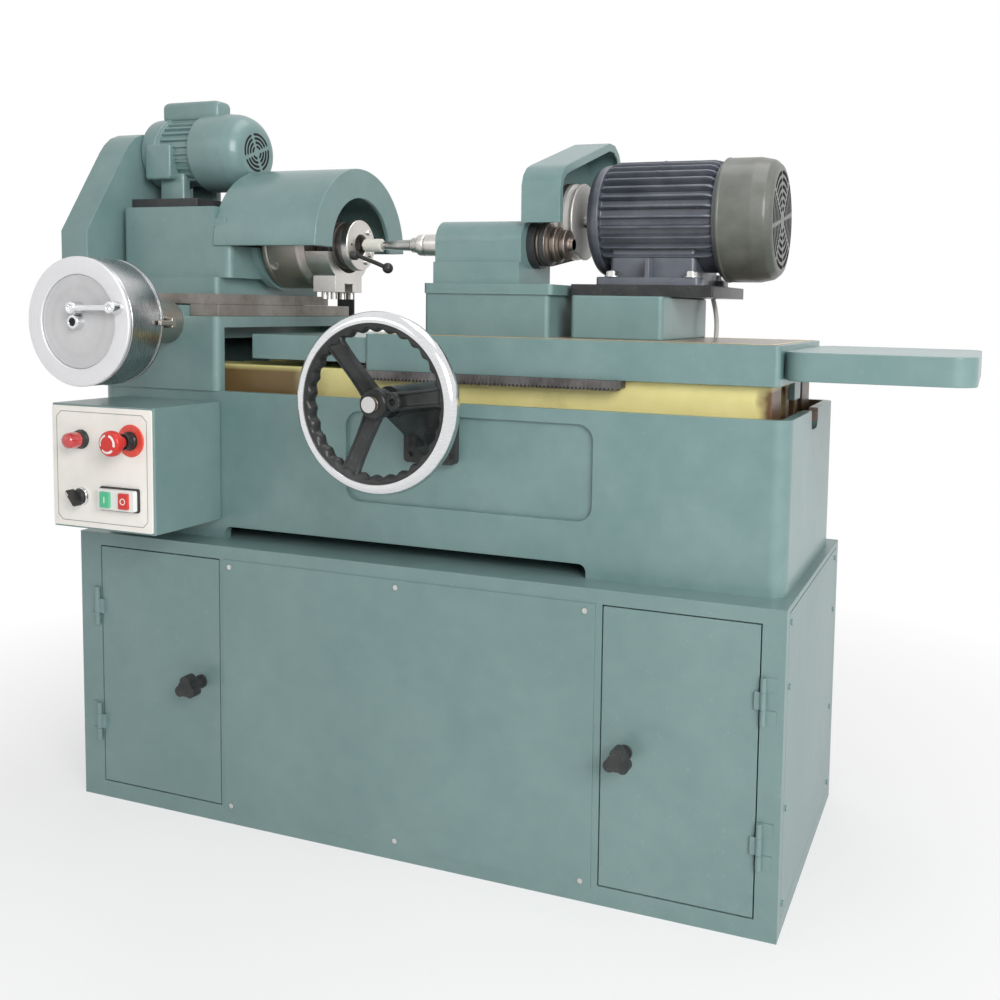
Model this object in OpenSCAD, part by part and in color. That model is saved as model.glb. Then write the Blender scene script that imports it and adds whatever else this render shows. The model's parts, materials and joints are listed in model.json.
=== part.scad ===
// Connecting rod grinding machine: cabinet, bed, sliding table with wheelhead, and cross-fed workhead.
// Lengths are in millimetres, +Z is up, +X runs to the operator's right and -Y faces the operator.
// The origin is the middle of the cabinet's underside.

/* [Cabinet] */
// length of the cabinet
cab_l = 1200; // [1000:1:1400]
// depth of the cabinet
cab_w = 480; // [400:1:600]
// height of the cabinet, to the underside of the bed
cab_h = 458; // [400:1:520]
// thickness of the cabinet sheet
cab_t = 4; // [3:0.5:6]
// height of both doors
door_h = 405; // [350:1:430]
// height of the doors' lower edge
door_z = 30; // [20:1:60]
// width of the left door
left_door_w = 241; // [200:1:280]
// width of the right door
right_door_w = 222; // [200:1:280]
// gap round each door
door_gap = 2; // [1:0.5:4]
// radius of the door knobs' lobes
knob_r = 19; // [14:1:26]

/* [Bed] */
// length of the bed casting
bed_l = 1187; // [1000:1:1300]
// depth of the bed casting
bed_w = 400; // [340:1:460]
// height of the bed's rim above the cabinet's top
bed_top = 244; // [192:1:302]
// thickness of the bed's walls
bed_t = 14; // [8:1:20]
// radius of the bed's upright corners
bed_r = 25; // [10:1:40]
// height of the slideways above the cabinet's top
ways_top = 286.7; // [272:0.1:302]

/* [Column and cross slide] */
// width of the column
col_l = 255; // [220:1:280]
// height of the column above the cabinet's top
col_top = 366; // [342:1:402]
// height of the cross rails
rail_h = 19.7; // [12:0.1:30]
// thickness of the saddle plate
saddle_t = 17; // [12:1:30]
// distance between the feed screw and the column's left side
screw_off = 152; // [100:1:180]
// radius of the feed screw
screw_r = 10; // [6:1:14]

/* [Workhead] */
// height of both spindle axes above the cabinet's top
axis_z = 490; // [442:1:542]
// distance of both spindle axes behind the cabinet's front
axis_y = 206; // [150:1:300]
// outer radius of the hood
hood_r = 136; // [110:1:160]
// length of the hood
hood_l = 199; // [150:1:240]
// radius of the opening in the hood's end
hood_hole_r = 87; // [60:1:110]
// radius of the faceplate
face_r = 74; // [50:1:90]
// radius of the front ring plate
ring_r = 43; // [30:1:60]
// radius of the bore through the ring plate
bore_r = 17; // [12:1:24]
// radius of the workhead motor
wm_r = 66; // [50:1:80]

/* [Dial] */
// radius of the dial drum
dial_r = 98; // [70:1:120]
// width of the dial drum
dial_w = 76; // [50:1:100]

/* [Table] */
// length of the table's main part
table_l = 660; // [500:1:800]
// depth of the table
table_w = 350; // [300:1:400]
// thickness of the table
table_t = 57; // [40:1:80]
// length of the tongue at the table's left end
tongue_l = 218; // [150:1:260]
// length of the splash tray at the table's right end
tray_l = 253; // [150:1:300]
// module of the rack and pinion
gear_m = 2; // [1:0.5:3]

/* [Handwheel] */
// outer radius of the handwheel
wheel_r = 126; // [100:1:150]
// half the thickness of the handwheel's rim
rim_half = 13; // [8:1:18]
// radius of the wheel shaft
shaft_r = 8.5; // [6:0.5:12]

/* [Wheelhead] */
// radius of the grinding wheel
stone_r = 11; // [8:1:15]
// width of the grinding wheel
stone_w = 32; // [16:1:40]
// radius of the wheelhead motor over its fins
gm_r = 96; // [80:1:110]
// length of the finned motor frame
gm_l = 199; // [150:1:240]
// length of the fan cover
fan_l = 114; // [80:1:140]
// radius of the motor pulley
mp_r = 63; // [50:1:70]

/* [Control box] */
// width of the control box
box_w = 202; // [160:1:240]
// height of the control box
box_h = 195; // [160:1:240]
// depth of the control box
box_d = 150; // [100:1:180]
// radius of the stop mushroom
stop_r = 20; // [16:1:24]

/* [Show] */
// which piece to draw

/* [Hidden] */

$fn = 64;
eps = 0.5;
slip = 0.3;
run_gap = 0.04;
steel_t = 2;
edge_r = 8;
soft_r = 12;

teal = [0.38, 0.52, 0.51];
cream = [0.85, 0.76, 0.5];
steel = [0.72, 0.72, 0.7];
chrome = [0.85, 0.85, 0.87];
iron = [0.42, 0.37, 0.34];
black = [0.06, 0.06, 0.06];
navy = [0.13, 0.14, 0.18];
olive = [0.3, 0.31, 0.29];
white = [0.9, 0.88, 0.84];
red = [0.8, 0.1, 0.08];
green = [0.1, 0.6, 0.35];

// shared placing: modules below are written from the cabinet's front left bottom corner
origin_x = cab_l / 2;
origin_y = cab_w / 2;

// doors
left_door_x = 45;
right_door_x = 944;
door_lip = 14;
door_t = 2;
hinge_r = 4.2;
hinge_pin_r = 2.2;
hinge_off_x = 6.5;
hinge_off_y = 4.5;
hinge_l = 65;
hinge_mid = 25;
hinge_z = [101, 301];
leaf_w = 18;
leaf_in = 6;
leaf_t = 1.5;
knob_in = 36;
knob_z = 231;
knob_stem_r = 8;
knob_gap = 3;
knob_stem_l = 20;
knob_t = 18;
knob_lobe = 11;
cam_t = 4;
cam_l = 42;
cam_w = 18;
cam_gap = 1;
keeper_h = 60;

// cabinet openings
wall_l_x = 300;
wall_r_x = 930;
mid_x = [322, 908];
mid_z = [44, 416];
stop_w = 16;
stop_y = [16.3, 20];
stop_in = 40;
side_y = [22, 455];
side_z = [25, 449];
side_gap = 1;
panel_x = [294, 932];
panel_z = [22, 437];
panel_screw_x = [309, 613, 917];
panel_screw_z = [32, 426];
side_screw_y = [34, 443];
side_screw_z = [40, 175, 345, 434];
screw_head_r = 4;
screw_head_h = 2;
screw_body_r = 2;

// bed
bed_x = [0, bed_l];
bed_front = 50;
bed_y = [bed_front, bed_front + bed_w];
notch_y = [228, 288];
notch_d = 30;
notch_r = 14;
bed_floor = [22, 36];
arch_x = [258, 897];
arch_r = 12;
recess_x = [491, 905];
recess_z = [82, 224];
recess_d = 7;
recess_r = 24;
ways_left = 172;
ways_short = 35;
ways_x = [ways_left, bed_l - ways_short];
ways_foot_y = [120, 390];
ways_rail_y = [[96, 166], [344, 414]];
ways_rail_h = 54;
ways_wall = 22;
guide_y = [230, 280];
guide_wall = 24;

// column
col_out = 6;
col_x = [-col_out, col_l - col_out];
col_y = [46, 446];
col_wall = 18;
col_r = 12;
screw_x = screw_off - col_out;
screw_drop = 10;
screw_z = col_top - screw_drop;
trough_half = 28;
trough_x = [screw_x - trough_half, screw_x + trough_half];
trough_wall = 9;
trough_d = 30;
trough_z = col_top - trough_d;
rail_x = [[6, 57], [183, 240]];
rail_y = [60, 440];
web_x = [58, 182];
web_y = [46, 62];
saddle_x = [-2, 238];
saddle_y = [60, 372];
saddle_z = col_top + rail_h + slip;
key_y = [112, 372];
nut_y = [200, 262];
nut_half = 18;
rear_x = [206, 244];
rear_y = [450, 470];
rear_z = [262, 454];

// workhead
low_x = [22, 233];
low_y = [66, 350];
low_h = 27;
house_x = [29, 253];
house_y = [74, 345];
house_above = 57;
house_top = axis_z + house_above;
house_z = saddle_z + saddle_t + low_h;
cap_r = 78;
cap_l = 12;
ws_r = 32;
ws_bore_r = 20;
ws_x = [-26, 268];
ws_pulley_r = 70;
ws_pulley_x = [-24, 6];
hood_left = 222;
hood_x = [hood_left, hood_left + hood_l];
hood_t = 4;
hood_end_t = 8;
hood_drop = 8;
hood_cut = axis_z - hood_drop;
face_x = [268, 350];
face_neck_r = 30;
face_neck_l = 25;
hub_r = 40;
hub_x = [375, 405];
hub_groove = 3;
ring_x = [405, 419];
clamp_x = [350, 394];
clamp_r = [47, 66];
clamp_foot = [26, 14];
clamp_bolt_r = 6;
wmp_y = [108, 272];
wmp_t = 18;
wm_y = 190;
wm_above = 103;
wm_z = house_top + wm_above;
wm_x = [22, 218];
wm_cover_x = 138;
wm_foot_x = [34, 150];
wm_foot_y = [[114, 152], [228, 266]];
wm_foot_t = 12;
wm_shaft_r = 9;
wm_pulley_r = 24;
wm_pulley_x = [-20, 8];
cap_x = [26, 156];
cap_box_r = 20;
cap_above = 73;
cap_z = wm_z + cap_above;
lg_x = [-38, 18];
lg_t = 3;
wmp_l = 139.7;
wmp_x = [lg_x[1] + slip, lg_x[1] + slip + wmp_l];
lg_out_off = [[-198, -82], [-198, 14], [-113, 154], [-102, 169], [-88, 182], [-70, 190],
    [8, 193], [34, 186], [56, 164], [192, 14], [192, -82]];
lg_prof = [for (p = lg_out_off) [axis_y + p[0], axis_z + p[1]]];
lg_in_off = [[-195, -79], [-195, 13], [-110, 152], [-100, 166], [-86, 179], [-69, 187],
    [7, 190], [32, 183], [54, 162], [189, 12], [189, -79]];
lg_in = [for (p = lg_in_off) [axis_y + p[0], axis_z + p[1]]];
lever_x = [419, 427];
lever_side = 12;
lever_drop = 6;
lever_y = axis_y - lever_side;
lever_z = axis_z - lever_drop;
lever_pin_r = 3;
lever_pin_l = 9;
lever_boss_r = 8;
lever_r = 3.5;
ball_off = [483, -8, -27];
lever_end = [ball_off[0], axis_y + ball_off[1], axis_z + ball_off[2]];
lever_ball_r = 9;

// dial
dial_front = -138;
dial_y = [dial_front, dial_front + dial_w];
dial_rim = 13;
dial_recess = 3;
dial_hub_r = 10;
dial_hub_l = 12;
crank_x = 52;
crank_r = 5;
crank_z = 14;
crank_gap = 9;
dial_back_r = 56;
dial_back_y = [-58, 46];
dial_back_small = 36;
clamp_boss_x = 20;

// table
table_left = 505;
table_x = [table_left, table_left + table_l];
table_front = 80;
table_y = [table_front, table_front + table_w];
table_z = ways_top + slip;
table_top = table_z + table_t;
tongue_low = 11;
thick_end = 40;
tongue_z = [table_z + tongue_low, table_z + tongue_low + thick_end];
tongue_y = [86, 424];
tray_low = 9;
tray_z = [table_z + tray_low, table_z + tray_low + thick_end];
tray_t = 4;
tray_r = 34;
tray_gap = 3;
key_h = 29;
key_z = table_z - key_h;
key_x = [400, 1160];
rack_x = [511, 938];
rack_y = [70, 92];
rack_h = 15;
rack_z = [table_z - rack_h, table_z];

// handwheel
hw_x = 650;
hw_y = -115;
pinion_r = 16.7;
hw_z = rack_z[0] - slip - pinion_r;
rim_in = 13;
spoke_w = 26;
spoke_t = 10;
hub_out_r = 22;
hub_half = 16;
bolt_r = 11;
bolt_h = 5;
bear_y = [-84, 50];
bear_r = 22;
arm_w = 64;
foot_left = 48;
foot_right = 40;
foot_drop = 13;
foot_h = 90;
foot_x = [hw_x - foot_left, hw_x + foot_right];
foot_z = [hw_z - foot_drop - foot_h, hw_z - foot_drop];
foot_t = 12;
foot_in = 10;
foot_screw = [for (sx = [foot_x[0] + foot_in, foot_x[1] - foot_in])
    for (sz = [foot_z[0] + foot_t, foot_z[1] - foot_in]) [sx, sz]];

// wheelhead
base_x = [578, 794];
base_y = [140, 330];
flange_x = [578, 801];
flange_y = [136, 334];
flange_drop = 64;
flange_t = 16;
flange_z = axis_z - flange_drop;
base_z = flange_z - flange_t;
sh_x = [592, 742];
sh_y = [150, 262];
sh_above = 36;
sh_top = axis_z + sh_above;
sh_r = 34;
quill_r = 18;
quill_x = [532, 756];
nose_r = 12;
nose_x = [521, 532];
arbor_x = [459, 521];
arbor_r = [6, 9];
stone_left = 428;
stone_x = [stone_left, stone_left + stone_w];
stone_hole_r = 5;
bearing_r = 38;
bearing_x = [742, 755];
sp_x = [756, 772, 787, 801, 809];
sp_r = [34, 29, 24, 9];
gm_y = 300;
gm_above = 43;
gm_z = axis_z + gm_above;
gm_left = 818;
gm_x = [gm_left, gm_left + gm_l];
bell_x = 802;
gm_core_r = 85;
gm_fins = 36;
fin_t = 4;
gm_shaft_r = 14;
mp_x = [757, 792];
fan_x = [gm_x[1], gm_x[1] + fan_l];
fan_r = 98;
fan_round = 24;
gm_foot_x = [848, 1014];
gm_foot_y = [[200, 240], [360, 398]];
gm_foot_drop = 105;
gm_foot_z = gm_z - gm_foot_drop;
gm_foot_t = 12;
gm_foot_h = 32;
stand_x = [826, 974];
stand_y = [150, 410];
plate_t = 18;
stand_z = gm_foot_z - plate_t;
plate_x = [810, 1040];
plate_y = [190, 398];
bolt_x = [872, 1000];
bolt_y = [212, 386];
bg_x = [742, 806];
bg_t = 4;
bg_out_off = [[-56, 31], [-56, 88], [-50, 104], [-38, 116], [-22, 123],
    [164, 182], [190, 182], [212, 170], [226, 148], [230, 52]];
bg_prof = [for (p = bg_out_off) [axis_y + p[0], axis_z + p[1]]];
bg_in_off = [[-52, 31], [-52, 87], [-46, 101], [-35, 112], [-20, 119],
    [165, 178], [188, 178], [209, 167], [222, 147], [226, 52]];
bg_in = [for (p = bg_in_off) [axis_y + p[0], axis_z + p[1]]];
belt_x = [762, 770];
belt_t = 5;

// control box
box_left = 50;
box_x = [box_left, box_left + box_w];
box_y = [bed_y[0] - box_d, bed_y[0]];
box_low = 32;
box_z = [box_low, box_low + box_h];
plate_in = 3;
plate_thick = 2;
lamp_off = 62;
lamp_x = box_left + lamp_off;
lamp_up = 141;
lamp_z = box_low + lamp_up;
lamp_r = 14.5;
estop_off = 160;
estop_x = box_left + estop_off;
estop_up = 144;
estop_z = box_low + estop_up;
sel_off = 60;
sel_x = box_left + sel_off;
sel_up = 51;
sel_z = box_low + sel_up;
twin_off = 102;
twin_w = 72;
twin_x = [box_left + twin_off, box_left + twin_off + twin_w];
twin_up = 36;
twin_h = 32;
twin_z = [box_low + twin_up, box_low + twin_up + twin_h];
twin_d = 12;
push_r = 10;
device_body_r = 14;
device_body_l = 40;

module place() {
    translate([-origin_x, -origin_y, 0])
        children();
}

// pieces above the cabinet are written from its top
module place_up() {
    translate([-origin_x, -origin_y, cab_h])
        children();
}

module slab(x, y, z) {
    translate([x[0], y[0], z[0]])
        cube([x[1] - x[0], y[1] - y[0], z[1] - z[0]]);
}

module rod_x(x, y, z, r) {
    translate([x[0], y, z])
        rotate([0, 90, 0])
            cylinder(r = r, h = x[1] - x[0]);
}

module rod_y(x, y, z, r) {
    translate([x, y[0], z])
        rotate([-90, 0, 0])
            cylinder(r = r, h = y[1] - y[0]);
}

module rod_z(x, y, z, r) {
    translate([x, y, z[0]])
        cylinder(r = r, h = z[1] - z[0]);
}

module round_rect(a, b, r) {
    translate([a[0] + r, b[0]])
        square([a[1] - a[0] - 2 * r, b[1] - b[0]]);
    translate([a[0], b[0] + r])
        square([a[1] - a[0], b[1] - b[0] - 2 * r]);
    for (p = [[a[0] + r, b[0] + r], [a[1] - r, b[0] + r], [a[0] + r, b[1] - r], [a[1] - r, b[1] - r]])
        translate(p)
            circle(r = r);
}

// a slab whose upright edges are rounded
module slab_z(x, y, z, r) {
    translate([0, 0, z[0]])
        linear_extrude(height = z[1] - z[0])
            round_rect(x, y, r);
}

// a profile drawn as (y, z) and drawn out along x
module along_x(x) {
    translate([x[0], 0, 0])
        rotate([90, 0, 90])
            linear_extrude(height = x[1] - x[0])
                children();
}

// a profile drawn as (x, z) and drawn out along y
module along_y(y) {
    translate([0, y[1], 0])
        rotate([90, 0, 0])
            linear_extrude(height = y[1] - y[0])
                children();
}

// a slab whose long top and bottom edges along x are rounded
module slab_x(x, y, z, r) {
    along_x(x)
        round_rect(y, z, r);
}

module cabinet() {
    color(teal)
        place()
            difference() {
                slab([0, cab_l], [cab_t, cab_w], [0, cab_h]);
                slab([cab_t, cab_l - cab_t], [cab_t - eps, cab_w - cab_t], [cab_t, cab_h - cab_t]);
                slab([cab_l - steel_t, cab_l + eps], side_y, side_z);
            }
}

module cabinet_front() {
    color(teal)
        place()
            difference() {
                slab([0, cab_l], [0, cab_t], [0, cab_h]);
                slab([left_door_x - door_gap, left_door_x + left_door_w + door_gap], [-eps, cab_t + eps],
                    [door_z - door_gap, door_z + door_h + door_gap]);
                slab([right_door_x - door_gap, right_door_x + right_door_w + door_gap], [-eps, cab_t + eps],
                    [door_z - door_gap, door_z + door_h + door_gap]);
                slab(mid_x, [-eps, cab_t + eps], mid_z);
                for (px = panel_screw_x)
                    for (pz = panel_screw_z)
                        rod_y(px, [-eps, cab_t + eps], pz, screw_body_r);
            }
}

// a door's keeper block and its stop, which stand on the back of the front plate beside an inner wall
module keeper(x0, x1, dir) {
    slab([x0, x1], [cab_t, door_lip + cam_gap - slip], [knob_z - keeper_h / 2, knob_z + keeper_h / 2]);
    slab([x0, x1], [cab_t, stop_y[1]], [door_z + stop_in, knob_z - stop_in]);
    slab(dir > 0 ? [x0, x1 + stop_w / 2] : [x0 - stop_w / 2, x1], stop_y, [door_z + stop_in, knob_z - stop_in]);
}

module cabinet_inner() {
    color(teal)
        place() {
            slab([wall_l_x, wall_l_x + cab_t], [cab_t, cab_w - cab_t], [cab_t, cab_h - cab_t]);
            slab([wall_r_x, wall_r_x + cab_t], [cab_t, cab_w - cab_t], [cab_t, cab_h - cab_t]);
            keeper(left_door_x + left_door_w + door_gap, wall_l_x - slip, -1);
            keeper(wall_r_x + cab_t + slip, right_door_x - door_gap, 1);
        }
}

module centre_panel() {
    color(teal)
        place()
            difference() {
                slab(panel_x, [-leaf_t, 0], panel_z);
                for (px = panel_screw_x)
                    for (pz = panel_screw_z)
                        rod_y(px, [-leaf_t - eps, eps], pz, screw_body_r);
            }
}

module panel_screws() {
    color(steel)
        place()
            for (px = panel_screw_x)
                for (pz = panel_screw_z) {
                    rod_y(px, [-leaf_t - screw_head_h, -leaf_t], pz, screw_head_r);
                    rod_y(px, [-leaf_t - screw_head_h / 2, cab_t + eps], pz, screw_body_r);
                }
}

module side_panel() {
    color(teal)
        place() {
            slab([cab_l - steel_t, cab_l], [side_y[0] + side_gap, side_y[1] - side_gap],
                [side_z[0] + side_gap, side_z[1] - side_gap]);
            for (sy = side_screw_y)
                for (sz = side_screw_z)
                    rod_x([cab_l - steel_t / 2, cab_l + screw_head_h], sy, sz, screw_head_r);
        }
}

module hinge_fixed(ax, dir, z0) {
    side = (hinge_l - hinge_mid) / 2;
    for (za = [z0, z0 + side + hinge_mid])
        rod_z(ax, -hinge_off_y, [za, za + side - slip], hinge_r);
    rod_z(ax, -hinge_off_y, [z0 + steel_t, z0 + hinge_l - steel_t], hinge_pin_r);
    for (za = [z0, z0 + side + hinge_mid + slip])
        slab(dir > 0 ? [ax, ax + leaf_w] : [ax - leaf_w, ax], [-leaf_t, 0], [za, za + side - 2 * slip]);
    for (za = [z0, z0 + side + hinge_mid + slip])
        slab([ax - leaf_t / 2, ax + leaf_t / 2], [-hinge_off_y, 0], [za, za + side - 2 * slip]);
}

module hinge_leaves() {
    color(teal)
        place()
            for (hz = hinge_z) {
                hinge_fixed(left_door_x - hinge_off_x, -1, hz);
                hinge_fixed(right_door_x + right_door_w + hinge_off_x, 1, hz);
            }
}

module hinge_moving(ax, dir, z0) {
    side = (hinge_l - hinge_mid) / 2;
    difference() {
        union() {
            rod_z(ax, -hinge_off_y, [z0 + side, z0 + side + hinge_mid - slip], hinge_r);
            slab(dir > 0 ? [ax, ax + leaf_in + hinge_off_x] : [ax - leaf_in - hinge_off_x, ax],
                [-hinge_off_y, -hinge_off_y + leaf_t], [z0 + side, z0 + side + hinge_mid - slip]);
            slab(dir > 0 ? [ax + hinge_off_x + steel_t, ax + leaf_in + hinge_off_x]
                : [ax - leaf_in - hinge_off_x, ax - hinge_off_x - steel_t],
                [-hinge_off_y, 0], [z0 + side, z0 + side + hinge_mid - slip]);
        }
        rod_z(ax, -hinge_off_y, [z0, z0 + hinge_l], hinge_pin_r + run_gap);
    }
}

module door(x0, w, hinge_x, dir, knob_x) {
    difference() {
        slab([x0, x0 + w], [0, door_lip], [door_z, door_z + door_h]);
        slab([x0 + steel_t, x0 + w - steel_t], [door_t, door_lip + eps],
            [door_z + steel_t, door_z + door_h - steel_t]);
        rod_y(knob_x, [-eps, door_lip], knob_z, knob_stem_r + run_gap);
    }
    for (hz = hinge_z)
        hinge_moving(hinge_x, dir, hz);
}

module left_door() {
    color(teal)
        place()
            door(left_door_x, left_door_w, left_door_x - hinge_off_x, 1, left_door_x + left_door_w - knob_in);
}

module right_door() {
    color(teal)
        place()
            door(right_door_x, right_door_w, right_door_x + right_door_w + hinge_off_x, -1, right_door_x + knob_in);
}

module knob(kx) {
    rod_y(kx, [-knob_gap - knob_stem_l, door_lip + cam_gap + cam_t], knob_z, knob_stem_r);
    rod_y(kx, [-knob_gap - steel_t, -slip], knob_z, knob_stem_r + knob_gap);
    along_y([-knob_gap - knob_stem_l - knob_t, -knob_gap - knob_stem_l])
        union() {
            for (a = [90, 210, 330])
                translate([kx + knob_lobe * cos(a), knob_z + knob_lobe * sin(a)])
                    circle(r = knob_r - knob_lobe + steel_t / 2);
            translate([kx, knob_z])
                circle(r = knob_lobe + steel_t);
        }
    rod_y(kx, [door_lip + cam_gap, door_lip + cam_gap + cam_t], knob_z, cam_w / 2);
    slab([kx - cam_w / 4, kx + cam_w / 4], [door_lip + cam_gap, door_lip + cam_gap + cam_t],
        [knob_z - cam_l, knob_z]);
}

module left_knob() {
    color(black)
        place()
            knob(left_door_x + left_door_w - knob_in);
}

module right_knob() {
    color(black)
        place()
            knob(right_door_x + knob_in);
}

module bed() {
    color(teal)
        place_up()
            difference() {
                slab_z(bed_x, bed_y, [0, bed_top], bed_r);
                slab_z([bed_x[0] + bed_t, bed_x[1] - bed_t], [bed_y[0] + bed_t, bed_y[1] - bed_t],
                    [bed_floor[1], bed_top + eps], bed_r - bed_t);
                slab([bed_x[0] + bed_r, bed_x[1] - bed_r], [bed_y[0] + bed_t, bed_y[1] - bed_t],
                    [-eps, bed_floor[0]]);
                slab(arch_x, [bed_y[0] - eps, bed_y[0] + bed_t + eps], [-eps, bed_floor[0] - arch_r]);
                slab([arch_x[0] + arch_r, arch_x[1] - arch_r], [bed_y[0] - eps, bed_y[0] + bed_t + eps],
                    [-eps, bed_floor[0] - steel_t]);
                for (ax = [arch_x[0] + arch_r, arch_x[1] - arch_r])
                    rod_y(ax, [bed_y[0] - eps, bed_y[0] + bed_t + eps], bed_floor[0] - steel_t - arch_r, arch_r);
                along_x([bed_x[1] - bed_t - eps, bed_x[1] + eps])
                    round_rect(notch_y, [bed_top - notch_d, bed_top + notch_d], notch_r);
                along_y([bed_y[0] - eps, bed_y[0] + recess_d])
                    round_rect(recess_x, recess_z, recess_r);
            }
}

module bed_ways() {
    color(cream)
        place_up() {
            difference() {
                slab(ways_x, ways_foot_y, [bed_floor[1], ways_top - ways_rail_h]);
                slab([ways_x[0] - eps, ways_x[1] + eps],
                    [ways_foot_y[0] + ways_wall, ways_foot_y[1] - ways_wall],
                    [bed_floor[1] - eps, ways_top - ways_rail_h - ways_wall]);
            }
            for (ry = ways_rail_y)
                slab(ways_x, ry, [ways_top - ways_rail_h, ways_top]);
            slab(ways_x, [guide_y[0] - slip - guide_wall, guide_y[0] - slip],
                [ways_top - ways_rail_h, ways_top - steel_t]);
            slab(ways_x, [guide_y[1] + slip, guide_y[1] + slip + guide_wall],
                [ways_top - ways_rail_h, ways_top - steel_t]);
        }
}

module column() {
    color(teal)
        place_up() {
            difference() {
                slab_z(col_x, col_y, [bed_top, col_top], col_r);
                slab([col_x[0] + col_wall, col_x[1] + eps], [col_y[0] + col_wall, col_y[1] - col_wall],
                    [bed_top - eps, trough_z - trough_wall]);
                slab([col_x[0] + col_wall, trough_x[0] - trough_wall],
                    [col_y[0] + col_wall, col_y[1] - col_wall],
                    [trough_z - trough_wall - eps, col_top - col_wall]);
                slab([trough_x[1] + trough_wall, col_x[1] + eps],
                    [col_y[0] + col_wall, col_y[1] - col_wall],
                    [trough_z - trough_wall - eps, col_top - col_wall]);
                slab(trough_x, [web_y[1], col_y[1] - col_wall], [trough_z, col_top + eps]);
                rod_y(screw_x, [col_y[0] - eps, web_y[1] + eps], screw_z, screw_r + run_gap);
                rod_y(screw_x, [col_y[1] - col_wall - eps, col_y[1] + eps], screw_z, screw_r + run_gap);
            }
            difference() {
                slab(web_x, web_y, [col_top, col_top + rail_h - steel_t]);
                rod_y(screw_x, [web_y[0] - eps, web_y[1] + eps], screw_z, screw_r + run_gap);
            }
        }
}

module cross_rails() {
    color(iron)
        place_up()
            for (rx = rail_x)
                slab(rx, rail_y, [col_top, col_top + rail_h]);
}

module rear_plate() {
    color(black)
        place_up() {
            slab(rear_x, [rear_y[0], rear_y[0] + cab_t], rear_z);
            slab([rear_x[0], rear_x[0] + cab_t], [col_y[1], rear_y[0] + cab_t], [rear_z[0], col_top - soft_r]);
            slab([rear_x[0], rear_x[1]], rear_y, [rear_z[1] - cab_t, rear_z[1]]);
        }
}

module control_box() {
    color(teal)
        place_up()
            difference() {
                slab_z(box_x, box_y, box_z, cab_t);
                slab([box_x[0] + cab_t, box_x[1] - cab_t], [box_y[0] + cab_t, box_y[1] - cab_t],
                    [box_z[0] + cab_t, box_z[1] - cab_t]);
                for (p = [[lamp_x, lamp_z], [estop_x, estop_z], [sel_x, sel_z]])
                    rod_y(p[0], [box_y[0] - eps, box_y[0] + cab_t + eps], p[1], device_body_r);
                slab([twin_x[0] + cab_t, twin_x[1] - cab_t], [box_y[0] - eps, box_y[0] + cab_t + eps],
                    [twin_z[0] + cab_t, twin_z[1] - cab_t]);
            }
}

module control_faceplate() {
    color(white)
        place_up()
            difference() {
                along_y([box_y[0] - plate_thick, box_y[0]])
                    round_rect([box_x[0] + plate_in, box_x[1] - plate_in],
                        [box_z[0] + plate_in, box_z[1] - plate_in], plate_in);
                for (p = [[lamp_x, lamp_z], [estop_x, estop_z], [sel_x, sel_z]])
                    rod_y(p[0], [box_y[0] - plate_thick - eps, box_y[0] + eps], p[1], device_body_r);
                slab([twin_x[0] + cab_t, twin_x[1] - cab_t], [box_y[0] - plate_thick - eps, box_y[0] + eps],
                    [twin_z[0] + cab_t, twin_z[1] - cab_t]);
            }
}

panel_y = box_y[0] - plate_thick;

module pilot_lamp() {
    color(red)
        place_up() {
            rod_y(lamp_x, [panel_y, panel_y + device_body_l], lamp_z, device_body_r - slip);
            rod_y(lamp_x, [panel_y - lamp_ring, panel_y], lamp_z, lamp_r);
            rod_y(lamp_x, [panel_y - lamp_dome, panel_y - lamp_ring], lamp_z, lamp_r - steel_t);
            intersection() {
                translate([lamp_x, panel_y - lamp_dome, lamp_z])
                    sphere(r = lamp_r - steel_t);
                rod_y(lamp_x, [panel_y - lamp_dome - lamp_r, panel_y - lamp_dome], lamp_z, lamp_r);
            }
        }
}

lamp_dome = 22;
lamp_ring = 5;
estop_ring_r = 25;
estop_ring_h = 4;
estop_stem_r = 11;
estop_stem_l = 18;
estop_head_h = 22;
stem_r = 6;
stem_in = 30;

module estop_base() {
    color(red)
        place_up()
            difference() {
                union() {
                    rod_y(estop_x, [panel_y, panel_y + device_body_l], estop_z, device_body_r - slip);
                    rod_y(estop_x, [panel_y - estop_ring_h, panel_y], estop_z, estop_ring_r);
                    rod_y(estop_x, [panel_y - estop_stem_l, panel_y], estop_z, estop_stem_r + steel_t);
                }
                rod_y(estop_x, [panel_y - estop_stem_l - eps, panel_y + device_body_l - steel_t], estop_z,
                    stem_r + run_gap);
            }
}

module estop_button() {
    color(red)
        place_up() {
            rod_y(estop_x, [panel_y - estop_stem_l - estop_ring_h * 2, panel_y + stem_in], estop_z, stem_r);
            rod_y(estop_x, [panel_y - estop_stem_l - estop_ring_h * 2 - estop_head_h / 2,
                panel_y - estop_stem_l - estop_ring_h * 2], estop_z, stop_r - steel_t * 2);
            rod_y(estop_x, [panel_y - estop_stem_l - estop_ring_h * 2 - estop_head_h,
                panel_y - estop_stem_l - estop_ring_h * 2 - estop_head_h / 2], estop_z, stop_r);
        }
}

module selector_base() {
    color(chrome)
        place_up()
            difference() {
                union() {
                    rod_y(sel_x, [panel_y, panel_y + device_body_l], sel_z, device_body_r - slip);
                    rod_y(sel_x, [panel_y - estop_ring_h, panel_y], sel_z, lamp_r);
                }
                rod_y(sel_x, [panel_y - estop_ring_h - eps, panel_y + device_body_l - steel_t], sel_z,
                    stem_r + run_gap);
            }
}

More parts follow.
